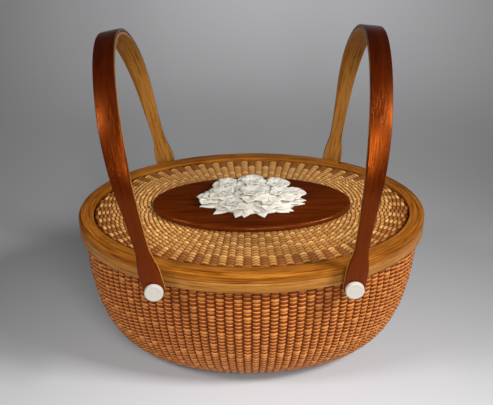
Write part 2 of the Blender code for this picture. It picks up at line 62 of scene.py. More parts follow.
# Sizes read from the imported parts
RIM_LOW, RIM_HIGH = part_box("rim_outer_hoop")
INNER_RIM_LOW, INNER_RIM_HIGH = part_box("rim_inner_hoop")
WALL_LOW, WALL_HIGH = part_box("woven_wall")
BOARD_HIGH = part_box("base_board")[1]
LID_LOW, LID_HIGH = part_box("lid_outer_hoop")
LID_INNER_LOW, LID_INNER_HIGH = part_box("lid_inner_hoop")
LID_WEAVE_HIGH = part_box("lid_woven_top")[1]
PLATE_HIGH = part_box("lid_centre_plate")[1]
PLAQUE_LOW, PLAQUE_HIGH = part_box("plaque")
SPRAY_LOW, SPRAY_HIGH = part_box("carved_spray")
KNOB_LOW, KNOB_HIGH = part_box("back_right_knob")
OUTER_STRIP_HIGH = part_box("right_handle_outer_strip")[1]
JOINTS = {joint["name"]: joint for joint in frame["record"]["behaviour"]["joints"]}
CORNERS = [(face, side) for face in ("front", "back") for side in ("left", "right")]

# Woven wall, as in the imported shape, and samples round its oval and up its slope
BOWL_FULLNESS = 2.2
GROOVE_DEPTH = 2.5 * MM
TURN_SAMPLES = 4097
BOWL_SAMPLES = 400

# Weave: the gap over the board, the gap under the rim, and steps along a stave
CANE_ABOVE_BOARD = 0.6 * MM
CANE_BELOW_RIM = 0.3 * MM
BODY_STAVE_STEPS = 28
LID_STAVE_STEPS = 12
# Staves are coloured almost wholly in the painted recess shade
STAVE_RECESS = 0.62

# Bent hoops: thickness, corners (outer bottom, outer top, inner top, inner bottom) and the
# place of the joint round the oval
RIM_OUTER_THICKNESS = 3.5 * MM
RIM_INNER_THICKNESS = 3.6 * MM
RIM_OUTER_ROUNDS = (1.1 * MM, 0.5 * MM, 0.3 * MM, 0.3 * MM)
RIM_INNER_ROUNDS = (0.3 * MM, 0.5 * MM, 0.8 * MM, 0.8 * MM)
LID_OUTER_ROUNDS = (0.5 * MM, 2.2 * MM, 0.04 * MM, 0.3 * MM)
LID_INNER_ROUNDS = (0.3 * MM, 0.04 * MM, 0.9 * MM, 0.4 * MM)
RIM_OUTER_JOINT = math.radians(62)
RIM_INNER_JOINT = math.radians(118)
LID_OUTER_JOINT = math.radians(55)
LID_INNER_JOINT = math.radians(213)
LID_INNER_SCARF = 0.10
JOINT_HALF_GAP = 0.0012
OVAL_SIDES = 200
# Where a hoop's section counts as edge, from 0 in its middle to 1 at a sharp corner
EDGE_START = 0.45
EDGE_SPAN = 0.4

# Lid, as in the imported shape, with its two hoops glued and its cane nearly flush with them
LID_OUTER_THICKNESS = 5.4 * MM
LID_INNER_THICKNESS = 5.1 * MM
GLUE_LINE = 0.03 * MM
LID_DOME_RISE = 2.1 * MM
STAVE_CROWDING = 0.0875

# Plaque: its rolled upper edge and the bevel under it
PLAQUE_ROLL = 1.9 * MM
PLAQUE_ROLL_STEPS = 9
PLAQUE_BEVEL = 0.5 * MM

# Knobs, as turned: the hole's radius, the foot's bevel, the face's bevel and its lip
KNOB_HOLE = 1.6 * MM
KNOB_FOOT_BEVEL = 0.4 * MM
KNOB_BEVEL = 0.9 * MM
KNOB_LIP = 0.5 * MM
TURNED_EDGE = math.radians(40)
TURNED_SIDES = 64

# Bent handles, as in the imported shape
ARCH_DRAW_IN = 1.5 * MM
LEG_HEIGHT = 68.0 * MM
ARCH_TOP = 146.3 * MM
ARCH_FULLNESS = 1.87
GLUE_GAP = 0.3 * MM
OUTER_STRIP = 2.5 * MM
INNER_STRIP = 2.0 * MM
INNER_STRIP_EXTRA = 0.4 * MM
FOOT_WIDTH = 14.4 * MM
FOOT_TOP = 12.0 * MM
WAIST_WIDTH = 9.0 * MM
WAIST_HEIGHT = 32.0 * MM
GRIP_WIDTH = 14.2 * MM
GRIP_HEIGHT = 115.0 * MM
LEANS = {"left": math.radians(12.0), "right": math.radians(6.4)}
# Steps round the foot, up the leg, over the arch and round a strip's corner
FOOT_START = 0.05
FOOT_STEPS = 12
LEG_STEPS = 34
ARCH_STEPS = 97
STRIP_CORNER_STEPS = 4
# Refraction of the straps' thick varnish
STRAP_VARNISH = 1.65


def colour_property(name, description, default):
    """A colour that shows as a swatch in the panel."""
    return bpy.props.FloatVectorProperty(
        name=name, description=description, default=default, size=3, min=0.0, max=1.0,
        subtype="COLOR")


def length_property(name, description, default):
    """A length in metres."""
    return bpy.props.FloatProperty(
        name=name, description=description, default=default, min=0.0, unit="LENGTH",
        precision=5)


def share_property(name, description, default, high=1.0):
    """A share of something else."""
    return bpy.props.FloatProperty(
        name=name, description=description, default=default, min=0.1, max=high)


def angle_property(name, description, degrees):
    """An angle, given in degrees."""
    return bpy.props.FloatProperty(
        name=name, description=description, default=math.radians(degrees), subtype="ANGLE")


def power_property(name, description, default):
    """The power of a lamp."""
    return bpy.props.FloatProperty(
        name=name, description=description, default=default, unit="POWER")


class BasketWeaveSettings(bpy.types.PropertyGroup):
    """Cane and staves of the body and the lid."""
    stave_count: bpy.props.IntProperty(
        name="Staves", description="Upright staves around the body, always odd",
        default=105, min=3)
    body_pitch: length_property("Body pitch", "Rise of the body's cane at each turn", 1.71 * MM)
    lid_pitch: length_property("Lid pitch", "Step of the lid's cane at each turn", 1.46 * MM)
    cane_cover: share_property("Cane cover", "Share of two rows that one width of cane covers",
                               0.96)
    waist_share: share_property("Waist share",
                                "Share of its width that the cane keeps where it dives", 0.50)
    cane_thickness: length_property("Body cane", "Thickness of the body's cane", 1.0 * MM)
    swing: length_property("Body swing", "How far it bows out over a stave", 1.6 * MM)
    inner_swing: length_property("Body inner swing", "How far it bows in behind one", 0.9 * MM)
    lid_cane_thickness: length_property("Lid cane thickness", "Thickness of the lid's cane",
                                        0.7 * MM)
    lid_swing: length_property("Lid swing", "How far it bows up over a stave", 1.1 * MM)
    lid_inner_swing: length_property("Lid inner swing", "How far it bows down under one",
                                     0.7 * MM)
    stave_share_of_depth: share_property(
        "Stave depth", "Share of the weave's depth that a stave fills", 0.26, high=0.9)
    stave_share: share_property("Stave share", "Share of its pitch that a stave fills", 0.70,
                                high=0.95)
    dark_rows: bpy.props.IntProperty(
        name="Dark rows", description="Rows of the lid, from the rim, with stained cane",
        default=7, min=0)
    body_dark: colour_property("Body dark", "Darkest cane of the body", (0.160, 0.026, 0.003))
    body_mid: colour_property("Body colour", "Usual cane of the body", (0.245, 0.042, 0.003))
    # Also the colour of the painted highlight on the body cane's upper edges
    body_light: colour_property("Body light", "Palest cane of the body", (0.800, 0.305, 0.068))
    lid_dark: colour_property("Lid dark", "Darkest cane of the lid", (0.270, 0.090, 0.018))
    lid_mid: colour_property("Lid cane", "Usual cane of the lid", (0.500, 0.210, 0.050))
    # Also the colour of the painted highlight on the lid cane's upper edges
    lid_light: colour_property("Lid light", "Palest cane of the lid", (0.950, 0.540, 0.180))
    stain: colour_property("Stain", "Stained cane near the lid rim", (0.215, 0.055, 0.011))
    # Painted shade: colour of the recesses where the body's cane dives and of the lines between
    # its rows
    body_shadow: colour_property("Body recess", "Old varnish between the body's staves",
                                 (0.065, 0.008, 0.001))
    # Painted shade: colour of the recesses where the lid's cane dives and of the lines between
    # its rows
    lid_shadow: colour_property("Lid recess", "Old varnish between the lid's staves",
                                (0.110, 0.026, 0.002))
    sheen: colour_property("Cane sheen", "Tint of the light on the cane",
                           (1.000, 0.740, 0.460))


class BasketWoodSettings(bpy.types.PropertyGroup):
    """Bent and turned wood."""
    mahogany_dark: colour_property("Mahogany dark", "Grain of the mahogany",
                                   (0.020, 0.002, 0.000))
    mahogany_mid: colour_property("Mahogany", "Body of the mahogany", (0.036, 0.003, 0.000))
    mahogany_light: colour_property("Mahogany light", "Pale figure of the mahogany",
                                    (0.070, 0.008, 0.001))
    mahogany_sheen: colour_property("Mahogany sheen", "Tint of the light in its grain",
                                    (1.000, 0.200, 0.020))
    plaque_dark: colour_property("Plaque dark", "Grain of the plaque", (0.070, 0.010, 0.001))
    plaque_mid: colour_property("Plaque", "Body of the plaque", (0.100, 0.016, 0.001))
    plaque_light: colour_property("Plaque light", "Pale figure of the plaque",
                                  (0.140, 0.024, 0.002))
    plaque_sheen: colour_property("Plaque sheen", "Tint of the light on its rolled edge",
                                  (1.000, 0.380, 0.160))
    oak_sheen: colour_property("Oak sheen", "Tint of the light in its grain",
                               (1.000, 0.620, 0.280))
    lid_oak_sheen: colour_property("Lid rim sheen", "Tint of the light in its grain",
                                   (1.000, 0.520, 0.160))
    oak_dark: colour_property("Oak dark", "Grain of the pale oak", (0.180, 0.056, 0.007))
    oak_mid: colour_property("Oak", "Body of the pale oak", (0.325, 0.117, 0.017))
    oak_light: colour_property("Oak light", "Pale figure of the oak", (0.480, 0.205, 0.038))
    lid_oak_dark: colour_property("Lid rim dark", "Grain of the lid rim", (0.115, 0.027, 0.002))
    lid_oak_mid: colour_property("Lid rim", "Body of the lid rim", (0.275, 0.082, 0.006))
    lid_oak_light: colour_property("Lid rim light", "Pale figure of the lid rim",
                                   (0.440, 0.155, 0.018))
    edge_round: length_property("Rounding", "Rounding of the handle strips", 0.7 * MM)


class BasketTrimSettings(bpy.types.PropertyGroup):
    """Bone knobs and carving."""
    bone: colour_property("Bone", "Carved bone", (0.930, 0.880, 0.770))
    # Painted shade colour for the roots, veins, undersides and heap of the carving; also its
    # mottling
    bone_shade: colour_property("Bone shade", "Bone in the cuts of the carving",
                                (0.620, 0.570, 0.480))
    # Painted shade: the carving's bone coloured darker, because the lamps fall full on the knobs
    knob: colour_property("Knob", "Polished bone of the knobs", (0.590, 0.545, 0.475))
    knob_shade: colour_property("Knob shade", "Mottling of the knobs", (0.440, 0.405, 0.355))
    # Painted shade: dark discs stand for the shade inside the drilled holes
    painted_hole_shade: colour_property("Drilled holes", "Dark of the drilled holes", (0.060, 0.045, 0.035))
    brass: colour_property("Pins", "Brass of the handle pins", (0.620, 0.420, 0.160))


class BasketStageSettings(bpy.types.PropertyGroup):
    """Camera, floor and lamps."""
    elevation: angle_property("Elevation", "Camera above the horizon", 30.0)
    azimuth: angle_property("Azimuth", "Camera round the basket from the front", -0.903)
    roll: angle_property("Roll", "Camera tilt in the frame", -0.161)
    distance: length_property("Distance", "Camera from the middle of the seam", 697.6 * MM)
    side_step: bpy.props.FloatProperty(
        name="Side step", description="Camera to the right of its aim",
        default=-3.763 * MM, unit="LENGTH", precision=5)
    lift: length_property("Lift", "Camera above its aim", 9.268 * MM)
    lens: bpy.props.FloatProperty(
        name="Focal length", description="Camera focal length in millimetres",
        default=68.67, subtype="DISTANCE_CAMERA")
    floor: colour_property("Floor", "Floor and backdrop", (0.560, 0.560, 0.572))
    left_power: power_property("Left power", "Power of the left lamp", 0.42)
    right_power: power_property("Right power", "Power of the right lamp", 1.17)
    front_power: power_property("Front power", "Power of the lamp above the camera", 0.84)
    backdrop_power: power_property("Backdrop power", "Power of the lamp on the backdrop", 0.95)
    gloss_power: power_property("Gloss power",
                                "Power of the small lamp that shines on the handles", 0.12)
    world: bpy.props.FloatProperty(
        name="Fill", description="Strength of the light from all round", default=0.05)
    beyond: bpy.props.FloatProperty(
        name="Beyond", description="Brightness of what shows beyond the paper", default=0.30)


class Graph:
    """Short words for adding nodes to a tree and joining them."""

    def __init__(self, tree):
        self.tree = tree

    def add(self, kind, **values):
        node = self.tree.nodes.new(kind)
        for name, value in values.items():
            setattr(node, name, value)
        return node

    def join(self, source, target):
        self.tree.links.new(source, target)

    def feed(self, target, value):
        if isinstance(value, bpy.types.NodeSocket):
            self.join(value, target)
        else:
            target.default_value = value

    def math(self, operation, first, second):
        node = self.add("ShaderNodeMath", operation=operation)
        self.feed(node.inputs[0], first)
        self.feed(node.inputs[1], second)
        return node.outputs[0]

    def scale(self, vector, factors):
        node = self.add("ShaderNodeVectorMath", operation="MULTIPLY")
        self.feed(node.inputs[0], vector)
        node.inputs[1].default_value = factors
        return node.outputs[0]

    def noise(self, vector, scale, detail=2.0, roughness=0.5, distortion=0.0):
        node = self.add("ShaderNodeTexNoise")
        for name, value in (("Vector", vector), ("Scale", scale), ("Detail", detail),
                            ("Roughness", roughness), ("Distortion", distortion)):
            self.feed(node.inputs[name], value)
        return node.outputs["Fac"]

    def drawn_out(self, vector, factors, **looks):
        """Noise with a scale of its own for each way of the grain."""
        return self.noise(self.scale(vector, factors), 1.0, **looks)

    def span(self, value, low, high, new_low=0.0, new_high=1.0):
        node = self.add("ShaderNodeMapRange")
        self.feed(node.inputs["Value"], value)
        for name, number in (("From Min", low), ("From Max", high),
                             ("To Min", new_low), ("To Max", new_high)):
            self.feed(node.inputs[name], number)
        return node.outputs["Result"]

    def mix(self, share, first, second):
        node = self.add("ShaderNodeMix", data_type="RGBA")
        self.feed(node.inputs["Factor"], share)
        for index, value in ((6, first), (7, second)):
            if not isinstance(value, bpy.types.NodeSocket):
                value = (*value, 1.0)
            self.feed(node.inputs[index], value)
        return node.outputs[2]

    def attribute(self, name, output="Fac"):
        return self.add("ShaderNodeAttribute", attribute_name=name).outputs[output]


def new_group(name, places, shares, results):
    """An empty shader group with its named vectors and shares going in and values out."""
    group = bpy.data.node_groups.new(name, "ShaderNodeTree")
    for labels, direction, kind in ((places, "INPUT", "NodeSocketVector"),
                                    (shares, "INPUT", "NodeSocketFloat"),
                                    (results, "OUTPUT", "NodeSocketFloat")):
        for label in labels:
            group.interface.new_socket(name=label, in_out=direction, socket_type=kind)
    graph = Graph(group)
    return graph, graph.add("NodeGroupInput").outputs, graph.add("NodeGroupOutput").inputs


# Noise scales per metre, along, across and through the grain of wood or a strand of cane
BROAD_FIGURE = (11.0, 210.0, 210.0)
RING_FIGURE = (30.0, 850.0, 850.0)
PORE_FIGURE = (90.0, 2200.0, 2200.0)
FIBRE_FIGURE = (160.0, 3800.0, 900.0)
BLOTCH_FIGURE = (90.0, 500.0, 400.0)
RUB_FIGURE = (60.0, 300.0, 300.0)


def build_grain_group():
    """Straight grain along X of the given vector: figure, pores and height."""
    graph, given, result = new_group("wood_grain", ["Grain"], [],
                                     ["Figure", "Pores", "Height"])
    broad = graph.drawn_out(given["Grain"], BROAD_FIGURE, detail=3.0, roughness=0.6,
                            distortion=0.6)
    rings = graph.drawn_out(given["Grain"], RING_FIGURE, roughness=0.55, distortion=0.3)
    figure = graph.math("ADD", graph.math("MULTIPLY", broad, 0.40),
                        graph.math("MULTIPLY", rings, 0.60))
    graph.join(graph.span(figure, 0.40, 0.60), result["Figure"])
    fine = graph.drawn_out(given["Grain"], PORE_FIGURE, roughness=0.6)
    pores = graph.span(fine, 0.54, 0.66)
    graph.join(pores, result["Pores"])
    graph.join(graph.math("SUBTRACT", graph.math("MULTIPLY", rings, 0.35), pores),
               result["Height"])


def build_fibre_group():
    """Fibres that run along a cane strand, from its length and width coordinates."""
    graph, given, result = new_group("cane_fibre", ["Strand"], [], ["Fibre", "Blotch"])
    fibre = graph.drawn_out(given["Strand"], FIBRE_FIGURE, roughness=0.6)
    blotch = graph.drawn_out(given["Strand"], BLOTCH_FIGURE)
    graph.join(graph.span(fibre, 0.35, 0.65), result["Fibre"])
    graph.join(graph.span(blotch, 0.35, 0.65), result["Blotch"])


def build_rub_group():
    """Uneven rubbing of an edge: the mask broken up by a soft noise."""
    graph, given, result = new_group("edge_rub", ["Place"], ["Edge"], ["Rub"])
    patchy = graph.span(graph.drawn_out(given["Place"], RUB_FIGURE), 0.3, 0.6)
    graph.join(graph.math("MULTIPLY", given["Edge"], patchy), result["Rub"])


def use_group(graph, name, **values):
    """Place a shared group in a material, with its inputs fed."""
    node = graph.add("ShaderNodeGroup", node_tree=bpy.data.node_groups[name])
    for label, value in values.items():
        graph.feed(node.inputs[label], value)
    return node.outputs


def new_material(name):
    """An empty material with its Principled shader and output."""
    material = bpy.data.materials.new(name)
    material.use_nodes = True
    graph = Graph(material.node_tree)
    return material, graph, material.node_tree.nodes["Principled BSDF"]


def bump(graph, shader, height, strength, distance):
    """Feed a height to the shader's normal."""
    node = graph.add("ShaderNodeBump")
    node.inputs["Strength"].default_value = strength
    node.inputs["Distance"].default_value = distance
    graph.join(height, node.inputs["Height"])
    graph.join(node.outputs["Normal"], shader.inputs["Normal"])


# Varnished wood: how far its pores darken it, its rubbed edges pale it, and the pores
# roughen and dent it
PORE_SHARE = 0.85
RUB_SHARE = 0.45
PORE_ROUGHNESS = 0.2
GRAIN_BUMP = 0.35
GRAIN_DEPTH = 0.12 * MM


def wood_material(name, wood, kind, *, roughness, shine, edge_shine=0.0, pale=False,
                  on_cad=False):
    """Varnished wood whose grain follows the piece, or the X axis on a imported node."""
    dark, mid, light, sheen = (getattr(wood, kind + "_" + label)
                               for label in ("dark", "mid", "light", "sheen"))
    if pale:
        mid = light
    material, graph, shader = new_material(name)
    if on_cad:
        grain = graph.add("ShaderNodeTexCoord").outputs["Object"]
        edge = 0.0
    else:
        grain = graph.attribute("grain", "Vector")
        edge = graph.attribute("edge")
    figure = use_group(graph, "wood_grain", Grain=grain)
    rub = use_group(graph, "edge_rub", Edge=edge, Place=grain)["Rub"]
    low = graph.mix(graph.span(figure["Figure"], 0.0, 0.5), dark, mid)
    body = graph.mix(graph.span(figure["Figure"], 0.45, 1.0), low, light)
    pored = graph.mix(graph.math("MULTIPLY", figure["Pores"], PORE_SHARE), body, dark)
    worn = graph.mix(graph.math("MULTIPLY", rub, RUB_SHARE), pored, light)
    graph.join(worn, shader.inputs["Base Color"])
    graph.join(graph.span(figure["Pores"], 0.0, 1.0, roughness, roughness + PORE_ROUGHNESS),
               shader.inputs["Roughness"])
    polish = graph.math("ADD", shine, graph.math("MULTIPLY", edge, edge_shine))
    graph.join(polish, shader.inputs["Specular IOR Level"])
    shader.inputs["Specular Tint"].default_value = (*sheen, 1.0)
    bump(graph, shader, figure["Height"], GRAIN_BUMP, GRAIN_DEPTH)
    return material


# Varnished cane: how far blotches, fibres, a painted highlight on upper edges, stain and painted
# shade between rows change its colour, the depths between which painted shade darkens it as it
# dives, and its polish and fibres
BLOTCH_SHARE = 0.09
FIBRE_SHARE = 0.28
PAINTED_HIGHLIGHT_SHARE = 0.90
STAIN_SHARE = 0.80
ROW_SHADE_SHARE = 0.85
DIVE_START, DIVE_END, DIVE_SHARE = 0.33, 0.53, 0.95
CANE_POLISH = 0.2
CANE_ROUGHNESS = (0.22, 0.36)
FIBRE_BUMP = 0.25
FIBRE_DEPTH = 0.05 * MM


def cane_material(part, weave):
    """Varnished cane, toned strand by strand, with painted shade where it dives and between rows
    and a painted highlight on upper edges.
    """
    dark, mid, light, shadow = (getattr(weave, part + "_" + label)
                                for label in ("dark", "mid", "light", "shadow"))
    material, graph, shader = new_material(part + "_cane")
    tone = graph.attribute("tone")
    fibre = use_group(graph, "cane_fibre", Strand=graph.attribute("grain", "Vector"))
    blotch = graph.span(fibre["Blotch"], 0.0, 1.0, -BLOTCH_SHARE, BLOTCH_SHARE)
    toned = graph.math("ADD", tone, blotch)
    low = graph.mix(graph.span(toned, 0.0, 0.5), dark, mid)
    body = graph.mix(graph.span(toned, 0.5, 1.0), low, light)
    lined = graph.mix(graph.math("MULTIPLY", fibre["Fibre"], FIBRE_SHARE), body, dark)
    # Painted highlight: the upper edge of each row is mixed towards the pale cane
    crest = graph.math("MULTIPLY", graph.attribute("crest"), PAINTED_HIGHLIGHT_SHARE)
    stain = graph.math("MULTIPLY", graph.attribute("stain"), STAIN_SHARE)
    stained = graph.mix(stain, graph.mix(crest, lined, light), tuple(weave.stain))
    # Painted shade: darker where the cane dives behind a stave; its polish is dulled there as
    # well
    dive = graph.span(graph.attribute("recess"), DIVE_START, DIVE_END, 0.0, DIVE_SHARE)
    # Painted shade between rows: the edges of each strand darken, the body's lower edge most
    groove = graph.math("MULTIPLY", graph.attribute("groove"), ROW_SHADE_SHARE)
    recess = graph.math("MAXIMUM", dive, groove)
    graph.join(graph.mix(recess, stained, tuple(shadow)), shader.inputs["Base Color"])
    graph.join(graph.span(fibre["Fibre"], 0.0, 1.0, *CANE_ROUGHNESS),
               shader.inputs["Roughness"])
    dulled = graph.math("MULTIPLY", recess, CANE_POLISH)
    graph.join(graph.math("SUBTRACT", CANE_POLISH, dulled),
               shader.inputs["Specular IOR Level"])
    shader.inputs["Specular Tint"].default_value = (*weave.sheen, 1.0)
    bump(graph, shader, fibre["Fibre"], FIBRE_BUMP, FIBRE_DEPTH)
    return material


# Polished bone: scales per metre and depth of its mottling, and how far its painted shade darkens
# it
MOTTLE_SCALE = 260.0
MOTTLE_SHARE = 0.16
PIT_SCALE = 1500.0
CARVING_SHADE_SHARE = 0.75
BONE_ROUGHNESS = (0.26, 0.40)
BONE_GLOW, BONE_GLOW_DEPTH = 0.08, 0.6 * MM
BONE_BUMP, BONE_PIT_DEPTH = 0.10, 0.05 * MM


def bone_material(name, colour, shade):
    """Polished bone: a faint mottling, darker with painted shade where the attribute marks roots,
    veins, undersides and heaps.
    """
    material, graph, shader = new_material(name)
    place = graph.add("ShaderNodeTexCoord").outputs["Object"]
    mottle = graph.span(graph.noise(place, MOTTLE_SCALE, 3.0), 0.35, 0.7, 0.0, MOTTLE_SHARE)
    base = graph.mix(mottle, tuple(colour), tuple(shade))
    cut = graph.math("MULTIPLY", graph.attribute("cut"), CARVING_SHADE_SHARE)
    graph.join(graph.mix(cut, base, tuple(shade)), shader.inputs["Base Color"])
    graph.join(graph.span(mottle, 0.0, MOTTLE_SHARE, *BONE_ROUGHNESS),
               shader.inputs["Roughness"])
    shader.inputs["Subsurface Weight"].default_value = BONE_GLOW
    shader.inputs["Subsurface Scale"].default_value = BONE_GLOW_DEPTH
    bump(graph, shader, graph.noise(place, PIT_SCALE, 2.0), BONE_BUMP, BONE_PIT_DEPTH)
    return material


# A small plain finish: scale per metre of its patches, and how they darken and roughen it
PATCH_SCALE = 400.0
PATCH_SHARE = 0.2
PATCH_DARKER = 0.6
PATCH_ROUGHNESS = 0.12


def plain_material(name, colour, roughness, metallic=0.0):
    """A small plain finish with a slight variation of its roughness."""
    material, graph, shader = new_material(name)
    place = graph.add("ShaderNodeTexCoord").outputs["Object"]
    patchy = graph.span(graph.noise(place, PATCH_SCALE, 3.0), 0.3, 0.7)
    darker = tuple(PATCH_DARKER * part for part in colour)
    graph.join(graph.mix(graph.math("MULTIPLY", patchy, PATCH_SHARE), tuple(colour), darker),
               shader.inputs["Base Color"])
    graph.join(graph.span(patchy, 0.0, 1.0, roughness, roughness + PATCH_ROUGHNESS),
               shader.inputs["Roughness"])
    shader.inputs["Metallic"].default_value = metallic
    return material


def grid_faces(rows, columns, wrap_columns=False):
    """Quads over a grid of points, facing along rows cross columns."""
    index = np.arange(rows * columns).reshape(rows, columns)
    if wrap_columns:
        index = np.hstack([index, index[:, :1]])
    return np.stack([index[:-1, :-1], index[1:, :-1], index[1:, 1:], index[:-1, 1:]],
                    axis=-1).reshape(-1, 4)


def make_mesh(name, points, faces, layers=None):
    """A smooth-shaded mesh object from points, faces and named point layers."""
    mesh = bpy.data.meshes.new(name)
    mesh.from_pydata(np.asarray(points).reshape(-1, 3).tolist(), [],
                     [list(face) for face in faces])
    for label, values in (layers or {}).items():
        flat = np.asarray(values, dtype=np.float32)
        kind, field = ("FLOAT_VECTOR", "vector") if flat.ndim > 1 else ("FLOAT", "value")
        layer = mesh.attributes.new(label, kind, "POINT")
        layer.data.foreach_set(field, flat.ravel())
    mesh.shade_smooth()
    item = bpy.data.objects.new(name, mesh)
    bpy.context.scene.collection.objects.link(item)
    return item


def finish_piece(item, material, body, node, sharp=None):
    """Give a piece its material and tell the frame what it rides on and replaces."""
    item.data.materials.append(material)
    if sharp is not None:
        item.data.set_sharp_from_angle(angle=sharp)
    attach(item, body)
    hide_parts(node)


def loft_faces(count, sides):
    """Faces of a closed skin over rings, with a flat cap at each end."""
    faces = grid_faces(count, sides, wrap_columns=True).tolist()
    faces.append(list(range(sides)))
    faces.append(list(reversed(range((count - 1) * sides, count * sides))))
    return faces


def heap_faces(count, sides):
    """The same faces for rings that run the other way, from a foot up to a top."""
    faces = grid_faces(count, sides, wrap_columns=True)[:, ::-1].tolist()
    faces.append(list(reversed(range(sides))))
    faces.append(list(range((count - 1) * sides, count * sides)))
    return faces


def loft_piece(name, rings, layers=None):
    """A closed solid skinned over an array of rings."""
    return make_mesh(name, rings, loft_faces(*rings.shape[:2]), layers)


def unit(vectors):
    """Vectors scaled to length one."""
    return vectors / np.linalg.norm(vectors, axis=-1, keepdims=True)


def oval(half_length, half_depth, angles):
    """Points on a flat oval, and its outward normals there."""
    cosine, sine = np.cos(angles), np.sin(angles)
    return (np.stack([half_length * cosine, half_depth * sine], axis=-1),
            unit(np.stack([cosine / half_length, sine / half_depth], axis=-1)))


class OvalTurn:
    """Turns a place round an oval, in staves, into the oval's angle."""

    def __init__(self, half_length, half_depth, count):
        self.count = count
        self.angle = np.linspace(0.0, 2 * math.pi, TURN_SAMPLES)
        step = np.hypot(half_length * np.sin(self.angle), half_depth * np.cos(self.angle))
        parts = (step[1:] + step[:-1]) / 2 * np.diff(self.angle)
        self.run = np.concatenate(([0.0], np.cumsum(parts)))

    def at(self, column):
        share = np.mod(column, self.count) / self.count
        return np.interp(share * self.run[-1], self.run, self.angle)


class WovenSurface:
    """A surface to weave on: columns run round it and the run climbs it."""

    def __init__(self, weave):
        self.turn = OvalTurn(RIM_HIGH.x, RIM_HIGH.y, weave.stave_count)

    def place(self, column, run):
        raise NotImplementedError

    def frame(self, column, run):
        """Point, outward normal and upward direction."""
        nudge_column, nudge_run = 0.02, 0.05 * MM
        along = self.place(column + nudge_column, run) - self.place(column - nudge_column, run)
        up = self.place(column, run + nudge_run) - self.place(column, run - nudge_run)
        up = unit(up)
        return self.place(column, run), unit(np.cross(along, up)), up

    def pitch(self, column, run):
        """Distance from one stave to the next."""
        return np.linalg.norm(self.place(column + 0.5, run) - self.place(column - 0.5, run),
                              axis=-1)


class BowlSurface(WovenSurface):
    """Outside of the bowl, from the groove in the base board to the top of the rim."""
    part, body, node = "body", "basket", "woven_wall"
    stave_steps = BODY_STAVE_STEPS
    stained_rows = 0

    def __init__(self, weave):
        super().__init__(weave)
        slope = np.linspace(0.0, math.pi / 2, BOWL_SAMPLES)
        out_share = np.sin(slope) ** (2 / BOWL_FULLNESS)
        up_share = 1 - np.cos(slope) ** (2 / BOWL_FULLNESS)
        up_share[-1] = 1.0
        length = BOARD_HIGH.x + (WALL_HIGH.x - BOARD_HIGH.x) * out_share
        depth = BOARD_HIGH.y + (WALL_HIGH.y - BOARD_HIGH.y) * out_share
        height = WALL_LOW.z + (RIM_LOW.z - WALL_LOW.z) * up_share
        self.length = np.concatenate(([length[0] - GROOVE_DEPTH], length, [length[-1]]))
        self.depth = np.concatenate(([depth[0] - GROOVE_DEPTH], depth, [depth[-1]]))
        self.height = np.concatenate(([height[0]], height, [WALL_HIGH.z]))
        mean = (self.length + self.depth) / 2
        step = np.hypot(np.diff(mean), np.diff(self.height))
        self.run = np.concatenate(([0.0], np.cumsum(step)))
        self.bow = (weave.swing, weave.inner_swing, weave.cane_thickness)
        self.row_pitch = weave.body_pitch
        self.start = self.run[1] + CANE_ABOVE_BOARD
        self.end = self.run_at(RIM_LOW.z) - CANE_BELOW_RIM
        self.stave_runs = (self.run[0], self.run[-1])

    def place(self, column, run):
        angle = self.turn.at(column)
        return np.stack([
            np.interp(run, self.run, self.length) * np.cos(angle),
            np.interp(run, self.run, self.depth) * np.sin(angle),
            np.interp(run, self.run, self.height),
        ], axis=-1)

    def run_at(self, height):
        return float(np.interp(height, self.height[1:], self.run[1:]))


class LidSurface(WovenSurface):
    """Top of the lid weave, from the rim in to the centre plate."""
    part, body, node = "lid", "lid", "lid_woven_top"
    stave_steps = LID_STAVE_STEPS

    def __init__(self, weave):
        super().__init__(weave)
        self.reach = (LID_WEAVE_HIGH.x - PLATE_HIGH.x + LID_WEAVE_HIGH.y - PLATE_HIGH.y) / 2
        self.bow = (weave.lid_swing, weave.lid_inner_swing, weave.lid_cane_thickness)
        self.row_pitch = self.start = weave.lid_pitch
        self.end = self.reach - self.start
        self.stave_runs = (0.0, self.reach)
        self.stained_rows = weave.dark_rows

    def place(self, column, run):
        angle = self.turn.at(column)
        inner = angle + STAVE_CROWDING * np.sin(4 * angle)
        share = 1 - run / self.reach
        return np.stack([
            PLATE_HIGH.x * np.cos(inner) * (1 - share) + LID_WEAVE_HIGH.x * np.cos(angle) * share,
            PLATE_HIGH.y * np.sin(inner) * (1 - share) + LID_WEAVE_HIGH.y * np.sin(angle) * share,
            LID_WEAVE_HIGH.z - LID_DOME_RISE * share ** 2,
        ], axis=-1)


# A strand's stations over a stave and under the next one, in staves
OVER_SHARES = (-0.50, -0.45, -0.38, -0.20, 0.0, 0.20, 0.38, 0.45)
UNDER_SHARES = (-0.50, -0.32, 0.0, 0.32)
# Section of cane: share of its half width and share of its thickness, and the painted shade
# between rows on its edges
CANE_SHARES = ((-1.0, 0.0), (-0.90, 0.50), (-0.55, 0.88), (0.0, 1.0), (0.50, 0.95),
               (0.85, 0.66), (1.0, 0.0))
ROW_SHADE_SHARES = {"body": (1.0, 0.90, 0.30, 0.0, 0.0, 0.0, 0.40),
                 "lid": (1.0, 0.85, 0.20, 0.0, 0.0, 0.30, 1.0)}
# Painted highlight along its upper edge, mixed towards the pale cane where light from above would
# catch it
UPPER_EDGE_HIGHLIGHT_SHARES = {"body": (0.0, 0.0, 0.0, 0.0, 0.12, 1.0, 0.60),
                "lid": (0.0, 0.0, 0.0, 0.15, 0.45, 0.30, 0.0)}
# How squarely the cane bows over a stave, and how far its width holds towards the gap
BOW_SHARE = 0.95
WIDTH_SHARE = 0.22
# Section of a stave: share of its half width and of its thickness
STAVE_SHARES = ((1.0, -0.5), (0.86, 0.5), (-0.86, 0.5), (-1.0, -0.5))
